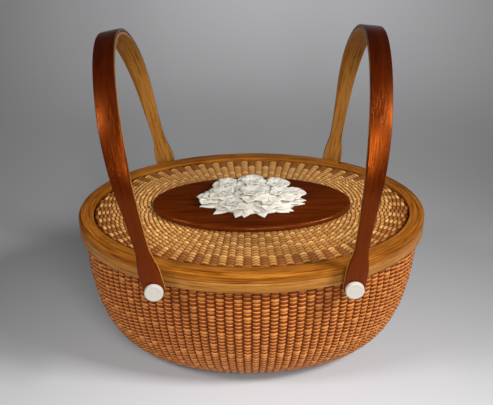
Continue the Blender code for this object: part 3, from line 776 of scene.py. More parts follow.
# Shifts of the fibres from row to row, and along and across from stave to stave
GRAIN_STEP_OF_ROW = 0.37 * MM
GRAIN_STEP_OF_STAVE = 1.7 * MM
GRAIN_WIDTH_OF_STAVE = 2.0 * MM
PITCH_SAMPLES = 200
STAVE_SEED = 11
# Tones of the cane: crossings in one cane, turns in a pale one, how much paler it is, how
# far off the next pale one is, and the unevenness
CANE_RUN = (12, 120)
PALE_TURNS = (0.5, 1.2)
PALE_RISE = (0.25, 0.45)
PALE_STEP = (0.5, 1.5)
TONE_NOISE = 0.05


def strand_tones(count, turn_count, middle, spread, bright_every, seed):
    """A tone for each crossing: runs of one cane, a few pale turns, and unevenness."""
    rng = np.random.default_rng(seed)
    tones = np.empty(count)
    start = 0
    while start < count:
        length = int(rng.integers(*CANE_RUN))
        tones[start:start + length] = rng.normal(middle, spread)
        start += length
    start = int(rng.integers(0, turn_count))
    while start < count:
        length = int(turn_count * rng.uniform(*PALE_TURNS))
        tones[start:start + length] += rng.uniform(*PALE_RISE)
        start += int(bright_every * turn_count * rng.uniform(*PALE_STEP))
    return np.clip(tones + rng.normal(0.0, TONE_NOISE, count), 0.0, 1.0)


def weave_cane(name, surface, weave, first, last, tones):
    """One length of the spiral cane, from one crossing to another."""
    swing, inner_swing, thickness = surface.bow
    pitch = surface.row_pitch
    offsets = np.concatenate([OVER_SHARES, 1.0 + np.asarray(UNDER_SHARES)])
    pairs = np.arange(first // 2, last // 2)
    station = (2 * pairs[:, None] + offsets[None, :]).ravel()
    run = surface.start + pitch * station / weave.stave_count
    point, out, up = surface.frame(station, run)
    wave = np.cos(math.pi * station)
    reach = np.where(wave > 0, swing, inner_swing)
    lift = np.sign(wave) * np.abs(wave) ** BOW_SHARE * reach
    half_width = pitch * weave.cane_cover * (
        weave.waist_share + (1 - weave.waist_share) * np.abs(wave) ** WIDTH_SHARE)
    section = np.asarray(CANE_SHARES)
    across = half_width[:, None] * section[None, :, 0]
    rise = (lift - swing)[:, None] + thickness * (section[None, :, 1] - 1)
    rings = (point[:, None, :] + up[:, None, :] * across[..., None]
             + out[:, None, :] * rise[..., None])
    crossing = np.clip(np.round(station).astype(int), 0, len(tones) - 1)
    row = crossing // weave.stave_count
    stain = ((row < surface.stained_rows) & (row % 2 == 0)).astype(float)
    sides = len(CANE_SHARES)
    # Depth of the cane, which drives the painted shade where it dives
    recess = np.clip(-rise / sum(surface.bow), 0.0, 1.0)
    sampled = slice(0, PITCH_SAMPLES)
    stave_pitch = float(np.mean(surface.pitch(station[sampled], run[sampled])))
    grain = np.stack([
        np.repeat(station * stave_pitch, sides),
        across.ravel(),
        np.repeat(row * GRAIN_STEP_OF_ROW, sides),
    ], axis=-1)
    layers = {
        "tone": np.repeat(tones[crossing], sides),
        "stain": np.repeat(stain, sides),
        "recess": recess.ravel(),
        # Painted shade between rows, on the edges of the section
        "groove": np.tile(ROW_SHADE_SHARES[surface.part], len(station)),
        # Painted highlight on each strand's upper edge
        "crest": np.tile(UPPER_EDGE_HIGHLIGHT_SHARES[surface.part], len(station)),
        "grain": grain,
    }
    return loft_piece(name, rings, layers)


def make_staves(surface, weave):
    """Flat staves that follow the surface midway between the cane's two faces."""
    depth = sum(surface.bow) / 2
    thickness = weave.stave_share_of_depth * sum(surface.bow)
    steps = surface.stave_steps
    runs = np.linspace(*surface.stave_runs, steps)
    rng = np.random.default_rng(STAVE_SEED)
    points, faces, tones, grains = [], [], [], []
    sides = len(STAVE_SHARES)
    for column in range(weave.stave_count):
        columns = np.full(steps, float(column))
        point, out, up = surface.frame(columns, runs)
        side = np.cross(out, up)
        half = surface.pitch(columns, runs) * weave.stave_share / 2
        base = len(points) * steps * sides
        rings = np.stack([
            point - out * depth + side * half[:, None] * across
            + out * thickness * lift
            for across, lift in STAVE_SHARES
        ], axis=1)
        faces.extend([base + index for index in face] for face in loft_faces(steps, sides))
        points.append(rings.reshape(-1, 3))
        tones.append(np.full(steps * sides, np.clip(rng.normal(0.4, 0.12), 0, 1)))
        grains.append(np.stack([
            np.repeat(runs, sides),
            np.tile([share[0] for share in STAVE_SHARES], steps) * GRAIN_WIDTH_OF_STAVE,
            np.full(steps * sides, column * GRAIN_STEP_OF_STAVE),
        ], axis=-1))
    total = sum(len(part) for part in points)
    # The staves get a depth that paints them in the recess shade
    layers = {"tone": np.concatenate(tones), "recess": np.full(total, STAVE_RECESS),
              "grain": np.concatenate(grains)}
    layers.update((label, np.zeros(total)) for label in ("stain", "groove", "crest"))
    return make_mesh(surface.part + "_staves", np.concatenate(points), faces, layers)


def weave_panel(surface, weave, labels, cuts, tones):
    """The cane of a body or lid in lengths, and the staves that it goes round."""
    material = cane_material(surface.part, weave)
    slot = surface.part + "_cane"
    pieces = [weave_cane(slot + "_" + label, surface, weave, first, last, tones)
              for label, first, last in zip(labels, cuts, cuts[1:])]
    for item in (*pieces, make_staves(surface, weave)):
        finish_piece(item, material, surface.body, surface.node)


def build_woven_body(weave):
    """Staves of the body and the cane woven round them in one spiral."""
    surface = BowlSurface(weave)
    rows = int((surface.end - surface.start) / surface.row_pitch)
    total = rows * weave.stave_count
    tones = strand_tones(total + 2, weave.stave_count, middle=0.42, spread=0.07,
                         bright_every=4.5, seed=5)
    cuts = [2 * round(total * share / 2) for share in (0.0, 1 / 3, 2 / 3, 1.0)]
    weave_panel(surface, weave, ("lower", "middle", "upper"), cuts, tones)


def build_woven_lid(weave):
    """Radiating staves of the lid and the cane woven round them."""
    surface = LidSurface(weave)
    rows = int((surface.end - surface.start) / surface.row_pitch)
    total = 2 * (rows * weave.stave_count // 2)
    tones = strand_tones(total + 2, weave.stave_count, middle=0.50, spread=0.07,
                         bright_every=4.0, seed=17)
    weave_panel(surface, weave, ("outer", "inner"), (0, 2 * (total // 4), total), tones)


def rounded_section(outer, inner, bottom, top, rounds, steps=5):
    """Inset and height round a hoop's section, with its four corners rolled over."""
    corners = (
        (outer, bottom, rounds[0], math.pi, 1.5 * math.pi),
        (outer, top, rounds[1], 0.5 * math.pi, math.pi),
        (inner, top, rounds[2], 0.0, 0.5 * math.pi),
        (inner, bottom, rounds[3], 1.5 * math.pi, 2 * math.pi),
    )
    points = []
    for inset, height, radius, low, high in corners:
        centre_inset = inset + radius if inset == outer else inset - radius
        centre_height = height + radius if height == bottom else height - radius
        turns = np.linspace(high, low, steps)
        for turn in turns:
            points.append((centre_inset + radius * math.cos(turn),
                           centre_height + radius * math.sin(turn)))
    return np.asarray(points)


def bent_hoop(name, section, joint, scarf=0.0):
    """An oval hoop bent from one strip, whose slanted ends meet at a hairline joint."""
    length, depth = RIM_HIGH.x, RIM_HIGH.y
    slant = scarf * (section[:, 0] - section[0, 0]) / np.ptp(section[:, 0])
    along = joint + np.linspace(JOINT_HALF_GAP, 2 * math.pi - JOINT_HALF_GAP, OVAL_SIDES)
    angles = along[:, None] + slant[None, :]
    centre, normal = oval(length, depth, angles)
    flat = centre - normal * section[None, :, :1]
    height = np.broadcast_to(section[None, :, 1:], (*flat.shape[:2], 1))
    rings = np.concatenate([flat, height], axis=-1)
    steps = np.linalg.norm(np.diff(centre[:, 0], axis=0), axis=-1)
    run = np.concatenate(([0.0], np.cumsum(steps)))
    count = len(section)
    grain = np.stack([
        np.repeat(run, count),
        np.tile(section[:, 1], OVAL_SIDES),
        np.tile(section[:, 0], OVAL_SIDES),
    ], axis=-1)
    mid = (section.max(axis=0) + section.min(axis=0)) / 2
    half = (section.max(axis=0) - section.min(axis=0)) / 2
    corner = np.prod(np.abs(section - mid) / half, axis=1)
    edge = np.tile(np.clip((corner - EDGE_START) / EDGE_SPAN, 0.0, 1.0), OVAL_SIDES)
    return loft_piece(name, rings, {"grain": grain, "edge": edge})


def build_rims(wood):
    """The basket's two rim hoops."""
    oak = wood_material("pale_oak", wood, "oak", roughness=0.34, shine=0.08, edge_shine=0.25)
    outer = rounded_section(0.0, RIM_OUTER_THICKNESS, RIM_LOW.z, RIM_HIGH.z, RIM_OUTER_ROUNDS)
    item = bent_hoop("basket_rim_outer", outer, RIM_OUTER_JOINT)
    finish_piece(item, oak, "basket", "rim_outer_hoop")
    inset = RIM_HIGH.x - INNER_RIM_HIGH.x
    inner = rounded_section(inset, inset + RIM_INNER_THICKNESS, INNER_RIM_LOW.z,
                            INNER_RIM_HIGH.z, RIM_INNER_ROUNDS)
    item = bent_hoop("basket_rim_inner", inner, RIM_INNER_JOINT)
    finish_piece(item, oak, "basket", "rim_inner_hoop")


def build_lid_frame(wood):
    """The lid's wide rim of two glued hoops, rolled over on top."""
    oak = wood_material("lid_oak", wood, "lid_oak", roughness=0.32, shine=0.06,
                        edge_shine=0.15)
    outer = rounded_section(0.0, LID_OUTER_THICKNESS, LID_LOW.z, LID_HIGH.z,
                            LID_OUTER_ROUNDS, steps=7)
    item = bent_hoop("lid_rim_outer", outer, LID_OUTER_JOINT)
    finish_piece(item, oak, "lid", "lid_outer_hoop")
    seam = LID_OUTER_THICKNESS + GLUE_LINE
    inset = RIM_HIGH.x - LID_INNER_HIGH.x
    inner = rounded_section(seam, inset + LID_INNER_THICKNESS, LID_INNER_LOW.z,
                            LID_INNER_HIGH.z, LID_INNER_ROUNDS, steps=6)
    item = bent_hoop("lid_rim_inner", inner, LID_INNER_JOINT, scarf=LID_INNER_SCARF)
    finish_piece(item, oak, "lid", "lid_inner_hoop")


def oval_board(half_length, half_depth, profile):
    """Rings of an oval board from a profile of insets and heights, bottom to top."""
    angles = np.linspace(0.0, 2 * math.pi, OVAL_SIDES, endpoint=False)
    ring, normal = oval(half_length, half_depth, angles)
    flats = [(ring - normal * inset, height) for inset, height in profile]
    edge, top = flats[-1]
    flats.extend((edge * share, top) for share in (0.8, 0.5, 0.2))
    return np.asarray([np.concatenate([flat, np.full((OVAL_SIDES, 1), height)], axis=-1)
                       for flat, height in flats])


def build_plaque(wood):
    """The mahogany plaque with its edge rolled over."""
    mahogany = wood_material("mahogany", wood, "plaque", roughness=0.15, shine=0.02,
                             edge_shine=0.45)
    profile = [(PLAQUE_BEVEL, PLAQUE_LOW.z), (0.0, PLAQUE_LOW.z + PLAQUE_BEVEL)]
    for step in range(PLAQUE_ROLL_STEPS + 1):
        turn = math.pi / 2 * step / PLAQUE_ROLL_STEPS
        profile.append((PLAQUE_ROLL * (1 - math.cos(turn)),
                        PLAQUE_HIGH.z - PLAQUE_ROLL * (1 - math.sin(turn))))
    rings = oval_board(PLAQUE_HIGH.x, PLAQUE_HIGH.y, profile)
    points = rings.reshape(-1, 3)
    rolled = np.arange(len(rings)) < len(profile) - 1
    item = make_mesh("plaque_board", points, heap_faces(*rings.shape[:2]), {
        "grain": points,
        "edge": np.repeat(rolled.astype(float), OVAL_SIDES),
    })
    finish_piece(item, mahogany, "lid", "plaque")


def smooth_step(share):
    """Ease from 0 to 1 with level ends."""
    share = np.clip(share, 0.0, 1.0)
    return share * share * (3 - 2 * share)


def strip_width(height):
    """Width of a bent strip: round foot, broad eye, narrow waist, broad grip."""
    foot = FOOT_WIDTH / 2
    round_end = 2 * np.sqrt(np.clip(foot ** 2 - np.minimum(height, 0.0) ** 2, 0.0, None))
    to_waist = smooth_step((height - FOOT_TOP) / (WAIST_HEIGHT - FOOT_TOP))
    to_grip = smooth_step((height - WAIST_HEIGHT) / (GRIP_HEIGHT - WAIST_HEIGHT))
    lower = FOOT_WIDTH + (WAIST_WIDTH - FOOT_WIDTH) * to_waist
    upper = WAIST_WIDTH + (GRIP_WIDTH - WAIST_WIDTH) * to_grip
    return np.where(height < 0, round_end, np.where(height < WAIST_HEIGHT, lower, upper))


def handle_path():
    """Stations of a handle in its own plane, from the front foot over to the back."""
    foot_y = OUTER_STRIP_HIGH.y - OUTER_STRIP
    foot = FOOT_WIDTH / 2
    turns = np.linspace(FOOT_START, math.pi / 2, FOOT_STEPS, endpoint=False)
    heights = np.concatenate([-foot * np.cos(turns),
                              np.linspace(0.0, LEG_HEIGHT, LEG_STEPS, endpoint=False)])
    ease = smooth_step((heights - FOOT_TOP) / (LEG_HEIGHT - FOOT_TOP))
    leg = np.stack([foot_y - ARCH_DRAW_IN * ease, heights], axis=-1)
    turn = np.linspace(math.pi, 0.0, ARCH_STEPS)
    arch_y = foot_y - ARCH_DRAW_IN
    cosine, sine = np.cos(turn), np.clip(np.sin(turn), 0.0, 1.0)
    across = arch_y * np.sign(cosine) * np.abs(cosine) ** (2 / ARCH_FULLNESS)
    up = LEG_HEIGHT + (ARCH_TOP - LEG_HEIGHT) * sine ** (2 / ARCH_FULLNESS)
    front = leg * (-1, 1)
    return np.concatenate([front, np.stack([across, up], axis=-1), leg[::-1]])


def strip_section(width, inner, outer, corner):
    """Section of a strip: side to side, and out from the glue line, edges rolled over."""
    half = width / 2
    corner = min(corner, half / 2)
    sign = 1 if outer > inner else -1
    turns = np.linspace(0.0, math.pi / 2, STRIP_CORNER_STEPS)
    rolled = [(side * (half - corner * (1 - math.cos(turn))),
               outer - sign * corner * (1 - math.sin(turn)))
              for side, order in ((1, turns), (-1, turns[::-1])) for turn in order]
    return ([(half, inner), *rolled, (-half, inner)], [0.0, *[1.0] * len(rolled), 0.0])


def bent_strip(name, pivot, lean, inner, outer, extra, corner):
    """One lamination of a handle, leaned about its pivot."""
    path = handle_path()
    widths = strip_width(path[:, 1]) + extra
    run = np.gradient(path, axis=0)
    run[path[:, 1] < FOOT_TOP] = (0.0, 1.0)
    run[(path[:, 1] < FOOT_TOP) & (path[:, 0] > 0)] = (0.0, -1.0)
    run = unit(run)
    normal = np.stack([-run[:, 1], run[:, 0]], axis=-1)
    steps = np.linalg.norm(np.diff(path, axis=0), axis=-1)
    along = np.concatenate(([0.0], np.cumsum(steps)))
    rings, grain, edge = [], [], []
    cosine, sine = math.cos(lean), math.sin(lean)
    for (across, height), width, (out_y, out_z), length in zip(path, widths, normal, along):
        section, edges = strip_section(width, inner, outer, corner)
        ring = []
        for side, distance in section:
            y, z = across + out_y * distance, height + out_z * distance
            ring.append((pivot.x + side * cosine + z * sine, y,
                         pivot.z - side * sine + z * cosine))
            grain.append((length, side, distance))
        rings.append(ring)
        edge.extend(edges)
    rings = np.asarray(rings)
    if outer < inner:
        rings = rings[:, ::-1]
        grain = np.asarray(grain).reshape(len(rings), -1, 3)[:, ::-1].reshape(-1, 3)
        edge = np.asarray(edge).reshape(len(rings), -1)[:, ::-1].ravel()
    return loft_piece(name, rings, {"grain": grain, "edge": edge})


def build_handles(wood):
    """Two swing handles: mahogany outside, pale oak inside."""
    mahogany = wood_material("handle_mahogany", wood, "mahogany", roughness=0.32, shine=1.0)
    mahogany.node_tree.nodes["Principled BSDF"].inputs["IOR"].default_value = STRAP_VARNISH
    oak = wood_material("handle_oak", wood, "oak", roughness=0.36, shine=0.10, pale=True)
    half_gap = GLUE_GAP / 2
    for label, side in (("left", -1), ("right", 1)):
        pivot = Vector(JOINTS[label + "_handle_swing"]["pos_m"])
        lean = side * LEANS[label]
        body = label + "_handle"
        item = bent_strip(body + "_mahogany", pivot, lean, half_gap, OUTER_STRIP, 0.0,
                          wood.edge_round)
        finish_piece(item, mahogany, body, body + "_outer_strip")
        item = bent_strip(body + "_oak", pivot, lean, -half_gap, -INNER_STRIP,
                          INNER_STRIP_EXTRA, wood.edge_round)
        finish_piece(item, oak, body, body + "_inner_strip")


def turned(name, profile, centre, facing):
    """A piece turned round Y from radii and heights, set on a point and facing out."""
    angles = np.linspace(0.0, 2 * math.pi, TURNED_SIDES, endpoint=False)
    rings = [np.stack([
        centre.x + radius * np.cos(angles) * facing,
        np.full(TURNED_SIDES, centre.y + facing * height),
        centre.z + radius * np.sin(angles),
    ], axis=-1) for radius, height in profile]
    return loft_piece(name, np.asarray(rings)[:, ::-1])


def build_knobs(trim):
    """Bone knobs with a polished bevel."""
    bone = bone_material("knob_bone", trim.knob, trim.knob_shade)
    height = KNOB_HIGH.y - KNOB_LOW.y
    radius = (KNOB_HIGH.x - KNOB_LOW.x) / 2
    face = radius - KNOB_BEVEL
    profile = [
        (KNOB_HOLE, 0.0), (radius - KNOB_FOOT_BEVEL, 0.0), (radius, KNOB_FOOT_BEVEL),
        (radius, height - KNOB_BEVEL - 0.15 * MM), (radius - 0.25 * MM, height - 0.35 * MM),
        (face, height), (face - KNOB_LIP, height - 0.10 * MM),
        (radius / 2, height - 0.05 * MM), (0.2 * MM, height - 0.03 * MM),
    ]
    for face_name, side_name in CORNERS:
        label = face_name + "_" + side_name
        facing = 1 if face_name == "back" else -1
        low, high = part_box(label + "_knob")
        centre = (low + high) / 2
        centre.y = low.y if facing > 0 else high.y
        item = turned(label + "_button", profile, centre, facing)
        finish_piece(item, bone, "basket", label + "_knob", TURNED_EDGE)


# Petals and leaves: columns across one, its least width, and its vein's depth and fade
PETAL_COLUMNS = 9
LEAST_WIDTH = 0.03
VEIN_DEPTH = 0.28 * MM
VEIN_FADE = 1.15
# How far painted shade darkens their roots and veins, and how soon the root's shade runs out
ROOT_SHADE, ROOT_FADE = 0.7, 2.6
VEIN_SHADE = 0.5


def petal(length, width, curl, cup, broadest, point, teeth=0.0, rows=9):
    """A petal or leaf as a grid of points, along X from its root, with a sunken vein."""
    along = np.linspace(0.0, 1.0, rows)[:, None]
    across = np.linspace(-1.0, 1.0, PETAL_COLUMNS)[None, :]
    outline = np.maximum(np.sin(math.pi * along ** broadest) ** point, LEAST_WIDTH)
    outline = outline * (1 - teeth * (np.arange(rows) % 2))[:, None]
    vein = np.clip(1 - 4 * np.abs(across), 0.0, 1.0) * np.clip(VEIN_FADE - along, 0.0, 1.0)
    x = length * (along + 0 * across)
    y = width / 2 * outline * across
    z = curl * along ** 2 + cup * across ** 2 * outline - VEIN_DEPTH * vein
    return np.stack([x, y, z], axis=-1)


class Carving:
    """Gathers carved shapes into one mesh."""

    def __init__(self):
        self.points = []
        self.faces = []
        self.cut = []
        self.count = 0

    def add_sheet(self, grid, thickness, cut):
        """A grid of points with a flat-bottomed thickness below it."""
        rows, columns = grid.shape[:2]
        shift = rows * columns
        under = grid.copy()
        under[..., 2] -= thickness
        top = grid_faces(rows, columns) + self.count
        index = np.arange(shift).reshape(rows, columns) + self.count
        border = np.concatenate([index[0], index[1:, -1], index[-1, -2::-1],
                                 index[-2:0:-1, 0]]).tolist()
        for here, after in zip(border, border[1:] + border[:1]):
            self.faces.append([here, after, after + shift, here + shift])
        self.faces.extend(top.tolist() + (top[:, ::-1] + shift).tolist())
        self.points.extend([grid.reshape(-1, 3), under.reshape(-1, 3)])
        # Undersides are wholly in painted shade
        self.cut.extend([cut.ravel(), np.ones(shift)])
        self.count += 2 * shift

    def add_petal(self, grid, place, turn, tilt, thickness):
        """Turn a petal about its root, tilt it up, and set it in place."""
        x, y, z = grid[..., 0], grid[..., 1], grid[..., 2]
        lifted_x = x * math.cos(tilt) - z * math.sin(tilt)
        lifted_z = x * math.sin(tilt) + z * math.cos(tilt)
        turned_x = lifted_x * math.cos(turn) - y * math.sin(turn)
        turned_y = lifted_x * math.sin(turn) + y * math.cos(turn)
        moved = np.stack([turned_x + place[0], turned_y + place[1], lifted_z + place[2]], axis=-1)
        rows, columns = grid.shape[:2]
        along = np.linspace(0.0, 1.0, rows)[:, None]
        across = np.abs(np.linspace(-1.0, 1.0, columns))[None, :]
        # Painted shade at the root and along the vein
        cut = (ROOT_SHADE * np.clip(1 - ROOT_FADE * along, 0, 1)
               + VEIN_SHADE * np.clip(1 - across * 4, 0, 1))
        self.add_sheet(moved, thickness, np.clip(cut, 0, 1))

    def add_mound(self, rings, cut):
        """A closed heap skinned over rings, from its foot to its top."""
        count, sides = rings.shape[:2]
        for face in heap_faces(count, sides):
            self.faces.append([index + self.count for index in face])
        self.points.append(rings.reshape(-1, 3))
        self.cut.append(np.full(count * sides, cut))
        self.count += count * sides

    def build(self, name):
        return make_mesh(name, np.concatenate(self.points), self.faces,
                         {"cut": np.concatenate(self.cut)})


def heap_rings(centre, half_length, half_depth, profile, sides, lobes=0, lobe_share=0.0):
    """Oval rings from a profile of reach shares and heights, with lobes round the edge."""
    angles = np.linspace(0.0, 2 * math.pi, sides, endpoint=False)
    lobe = 1 + lobe_share * np.cos(lobes * angles)
    rings = [np.stack([
        centre[0] + half_length * share * lobe * np.cos(angles),
        centre[1] + half_depth * share * lobe * np.sin(angles),
        np.full(sides, centre[2] + height),
    ], axis=-1) for share, height in profile]
    return np.asarray(rings)


# Flowers of the spray: place from its middle, radius, height of the root, and petals
FLOWERS = (
    (-30.5 * MM, -2.5 * MM, 9.5 * MM, 2.6 * MM, 5),
    (31.0 * MM, 3.0 * MM, 9.5 * MM, 2.8 * MM, 5),
    (-13.0 * MM, -12.5 * MM, 11.0 * MM, 3.2 * MM, 5),
    (12.5 * MM, -12.0 * MM, 11.0 * MM, 3.4 * MM, 5),
    (-17.5 * MM, 12.5 * MM, 11.5 * MM, 5.0 * MM, 5),
    (17.5 * MM, 12.0 * MM, 11.5 * MM, 5.0 * MM, 5),
    (0.0, 14.0 * MM, 13.0 * MM, 5.8 * MM, 5),
    (-20.5 * MM, 0.5 * MM, 12.5 * MM, 4.6 * MM, 5),
    (20.5 * MM, -1.0 * MM, 12.5 * MM, 4.8 * MM, 5),
    (0.5 * MM, -1.5 * MM, 15.0 * MM, 5.8 * MM, 6),
)
# Rings of petals in a flower: size, tilt, curl and step up
PETAL_RINGS = ((1.0, 0.20, -0.20, 0.0), (0.62, 0.46, -0.20, 0.45 * MM))
PETAL_LIFT = 1.4 * MM
PETAL_THICKNESS = 0.55 * MM
# A flower's eye with its light painted shade, and the holes drilled in it
EYE_PROFILE = ((1.0, 0.0), (0.95, 0.5 * MM), (0.72, 0.9 * MM), (0.35, 1.12 * MM),
               (0.04, 1.18 * MM))
EYE_LIFT = 1.7 * MM
EYE_RADIUS = 1.8 * MM
EYE_SHADE = 0.15
HOLE_PROFILE = ((1.0, 0.2 * MM), (1.0, 1.16 * MM))
HOLE_RING = 0.85 * MM
HOLE_RADIUS = 0.42 * MM
HOLE_TURN = 2.3
# The heap under the spray, with its lobed edge and its painted shade
HEAP_PROFILE = ((0.97, 0.1 * MM), (1.0, 0.6 * MM), (0.94, 2.2 * MM), (0.80, 4.0 * MM),
                (0.50, 5.4 * MM), (0.20, 6.0 * MM))
HEAP_LENGTH, HEAP_DEPTH = 34.0 * MM, 20.5 * MM
HEAP_LOBES, HEAP_LOBE_SHARE = 11, 0.04
HEAP_SHADE = 0.55
# Rings of leaves: count, reach, share of it inside the root, and height of the root
LEAF_RINGS = ((19, 1.0, 0.60, 1.9 * MM), (14, 0.88, 0.50, 3.8 * MM))
LEAF_WIDTH = 8.6 * MM
LEAF_THICKNESS = 0.8 * MM
LEAF_SWERVE = 0.22
CARVING_SEED = 3


def add_leaves(carving, count, reach_share, root_share, height, rng):
    """One ring of pointed, toothed leaves round the spray."""
    for index in range(count):
        turn = 2 * math.pi * (index + 0.3 * math.sin(2.1 * index)) / count
        reach_x = SPRAY_HIGH.x * math.cos(turn) * reach_share
        reach_y = SPRAY_HIGH.y * math.sin(turn) * reach_share
        length = math.hypot(reach_x, reach_y) * (1 - root_share) * float(rng.uniform(0.88, 1.0))
        grid = petal(length, LEAF_WIDTH, curl=-1.1 * MM, cup=-0.7 * MM, broadest=0.62,
                     point=0.95, teeth=0.10, rows=15)
        place = (reach_x * root_share, reach_y * root_share, height)
        swerve = float(rng.uniform(-LEAF_SWERVE, LEAF_SWERVE))
        carving.add_petal(grid, place, math.atan2(reach_y, reach_x) + swerve, 0.0,
                          LEAF_THICKNESS)


def add_flower(carving, x, y, radius, root, petals, start, rng):
    """Two rings of cupped petals round an eye."""
    for ring, (share, tilt, curl, step) in enumerate(PETAL_RINGS):
        for index in range(petals):
            turn = start + 2 * math.pi * (index + 0.5 * ring) / petals
            length = radius * share * float(rng.uniform(0.90, 1.06))
            grid = petal(length, length * 1.02, curl=curl * length, cup=0.5 * MM,
                         broadest=0.95, point=0.62)
            place = (x, y, root + PETAL_LIFT + step)
            carving.add_petal(grid, place, turn, tilt, PETAL_THICKNESS)
    eye = (x, y, root + EYE_LIFT)
    carving.add_mound(heap_rings(eye, EYE_RADIUS, EYE_RADIUS, EYE_PROFILE, 16), EYE_SHADE)


def build_carving(trim):
    """A spray of open flowers and leaves, of the builder's own layout."""
    bone = bone_material("carved_bone", trim.bone, trim.bone_shade)
    carving, holes = Carving(), Carving()
    floor = SPRAY_LOW.z
    rng = np.random.default_rng(CARVING_SEED)
    heap = heap_rings((0.0, 0.0, floor), HEAP_LENGTH, HEAP_DEPTH, HEAP_PROFILE, 60,
                      HEAP_LOBES, HEAP_LOBE_SHARE)
    carving.add_mound(heap, HEAP_SHADE)
    for count, reach, root, height in LEAF_RINGS:
        add_leaves(carving, count, reach, root, floor + height, rng)
    for x, y, radius, root, petals in FLOWERS:
        start = float(rng.uniform(0, 2 * math.pi))
        add_flower(carving, x, y, radius, floor + root, petals, start, rng)
        for index in range(2 + petals % 2):
            turn = start + HOLE_TURN * index
            drilled = (x + HOLE_RING * math.cos(turn), y + HOLE_RING * math.sin(turn),
                       floor + root + EYE_LIFT)
            holes.add_mound(heap_rings(drilled, HOLE_RADIUS, HOLE_RADIUS, HOLE_PROFILE, 10),
                            cut=1.0)
    finish_piece(carving.build("carved_flowers"), bone, "lid", "carved_spray")
    # Dark discs painted with the shade of the drilled holes
    dark = plain_material("drilled_hole", trim.painted_hole_shade, roughness=0.7)
    finish_piece(holes.build("drilled_holes"), dark, "lid", "carved_spray",
                 TURNED_EDGE)


def finish_packed_nodes(wood, trim):
    """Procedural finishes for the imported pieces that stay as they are."""
    mahogany = wood_material("plain_mahogany", wood, "mahogany", roughness=0.34, shine=0.30,
                             on_cad=True)
    oak = wood_material("plain_oak", wood, "oak", roughness=0.42, shine=0.20, on_cad=True)
    brass = plain_material("pin_brass", trim.brass, roughness=0.28, metallic=1.0)
    finishes = {"base_board": mahogany, "lid_centre_plate": mahogany, "lid_locating_hoop": oak}
    for face_name, side_name in CORNERS:
        finishes[face_name + "_" + side_name + "_pin"] = brass
        finishes[face_name + "_" + side_name + "_spacer"] = mahogany
    for node, material in finishes.items():
        for slot in frame["nodes"][node].material_slots:
            slot.material = material


def build_camera(stage):
    """The camera at the photographed angle."""
    seam = (RIM_HIGH.z + LID_LOW.z) / 2
    elevation, azimuth, roll = stage.elevation, stage.azimuth, stage.roll
    back = Vector((math.sin(azimuth) * math.cos(elevation),
                   -math.cos(azimuth) * math.cos(elevation), math.sin(elevation)))
    right = Vector((math.cos(azimuth), math.sin(azimuth), 0.0))
    up = back.cross(right)
    rolled_right = right * math.cos(roll) + up * math.sin(roll)
    rolled_up = up * math.cos(roll) - right * math.sin(roll)
    data = bpy.data.cameras.new("camera")
    data.lens = stage.lens
    data.sensor_width = 36.0
    camera = bpy.data.objects.new("camera", data)
    bpy.context.scene.collection.objects.link(camera)
    place = back * stage.distance + right * stage.side_step + up * stage.lift
    place.z += seam
    matrix = camera.matrix_world.copy()
    for row in range(3):
        matrix[row][0], matrix[row][1] = rolled_right[row], rolled_up[row]
        matrix[row][2], matrix[row][3] = back[row], place[row]
    camera.matrix_world = matrix
    data.clip_start, data.clip_end = 10 * MM, 20.0
    bpy.context.scene.camera = camera


def build_floor(stage):
    """A floor that sweeps up into the backdrop."""
    material, graph, shader = new_material("paper_sweep")
    graph.feed(shader.inputs["Base Color"], (*stage.floor, 1.0))
    shader.inputs["Roughness"].default_value = 0.85
    shader.inputs["Specular IOR Level"].default_value = 0.2
    near, far, radius, height, half_width = -1.6, 1.1, 0.7, 2.4, 2.6
    steps = 16
    profile = [(near, 0.0), (far - radius, 0.0)]
    for step in range(1, steps + 1):
        turn = math.pi / 2 * step / steps
        profile.append((far - radius + radius * math.sin(turn), radius * (1 - math.cos(turn))))
    profile.append((far, height))
    grid = np.asarray([[(x, y, z) for y, z in profile] for x in (-half_width, half_width)])
    item = make_mesh("paper_sweep", grid, grid_faces(2, len(profile)))
    item.data.materials.append(material)


def build_lamp(name, place, aim, size, power, spread):
    """A soft rectangular lamp that faces a point and fans out by an angle."""
    data = bpy.data.lights.new(name, "AREA")
    data.shape = "RECTANGLE"
    data.size, data.size_y = size
    data.energy = power
    data.spread = math.radians(spread)
    lamp = bpy.data.objects.new(name, data)
    bpy.context.scene.collection.objects.link(lamp)
    lamp.location = place
    lamp.rotation_euler = (Vector(aim) - Vector(place)).to_track_quat("-Z", "Y").to_euler()


# Lamps: place, point faced, size, and fan in degrees
LAMPS = {
    "left": ((-0.70, -0.40, 0.78), (0.06, -0.20, 0.0), (0.26, 0.26), 50),
    "right": ((0.72, -0.40, 0.78), (0.0, -0.20, 0.0), (0.26, 0.26), 55),
    "front": ((0.18, -0.90, 0.70), (0.02, -0.22, 0.0), (0.46, 0.30), 70),
    "backdrop": ((0.05, 0.60, 1.3), (0.08, 0.78, 0.0), (0.3, 0.3), 54),
    "gloss": ((0.05, -1.10, 0.44), (0.0, 0.0, 0.15), (0.12, 0.10), 40),
}
FILL_COLOUR = (0.97, 0.98, 1.0, 1.0)


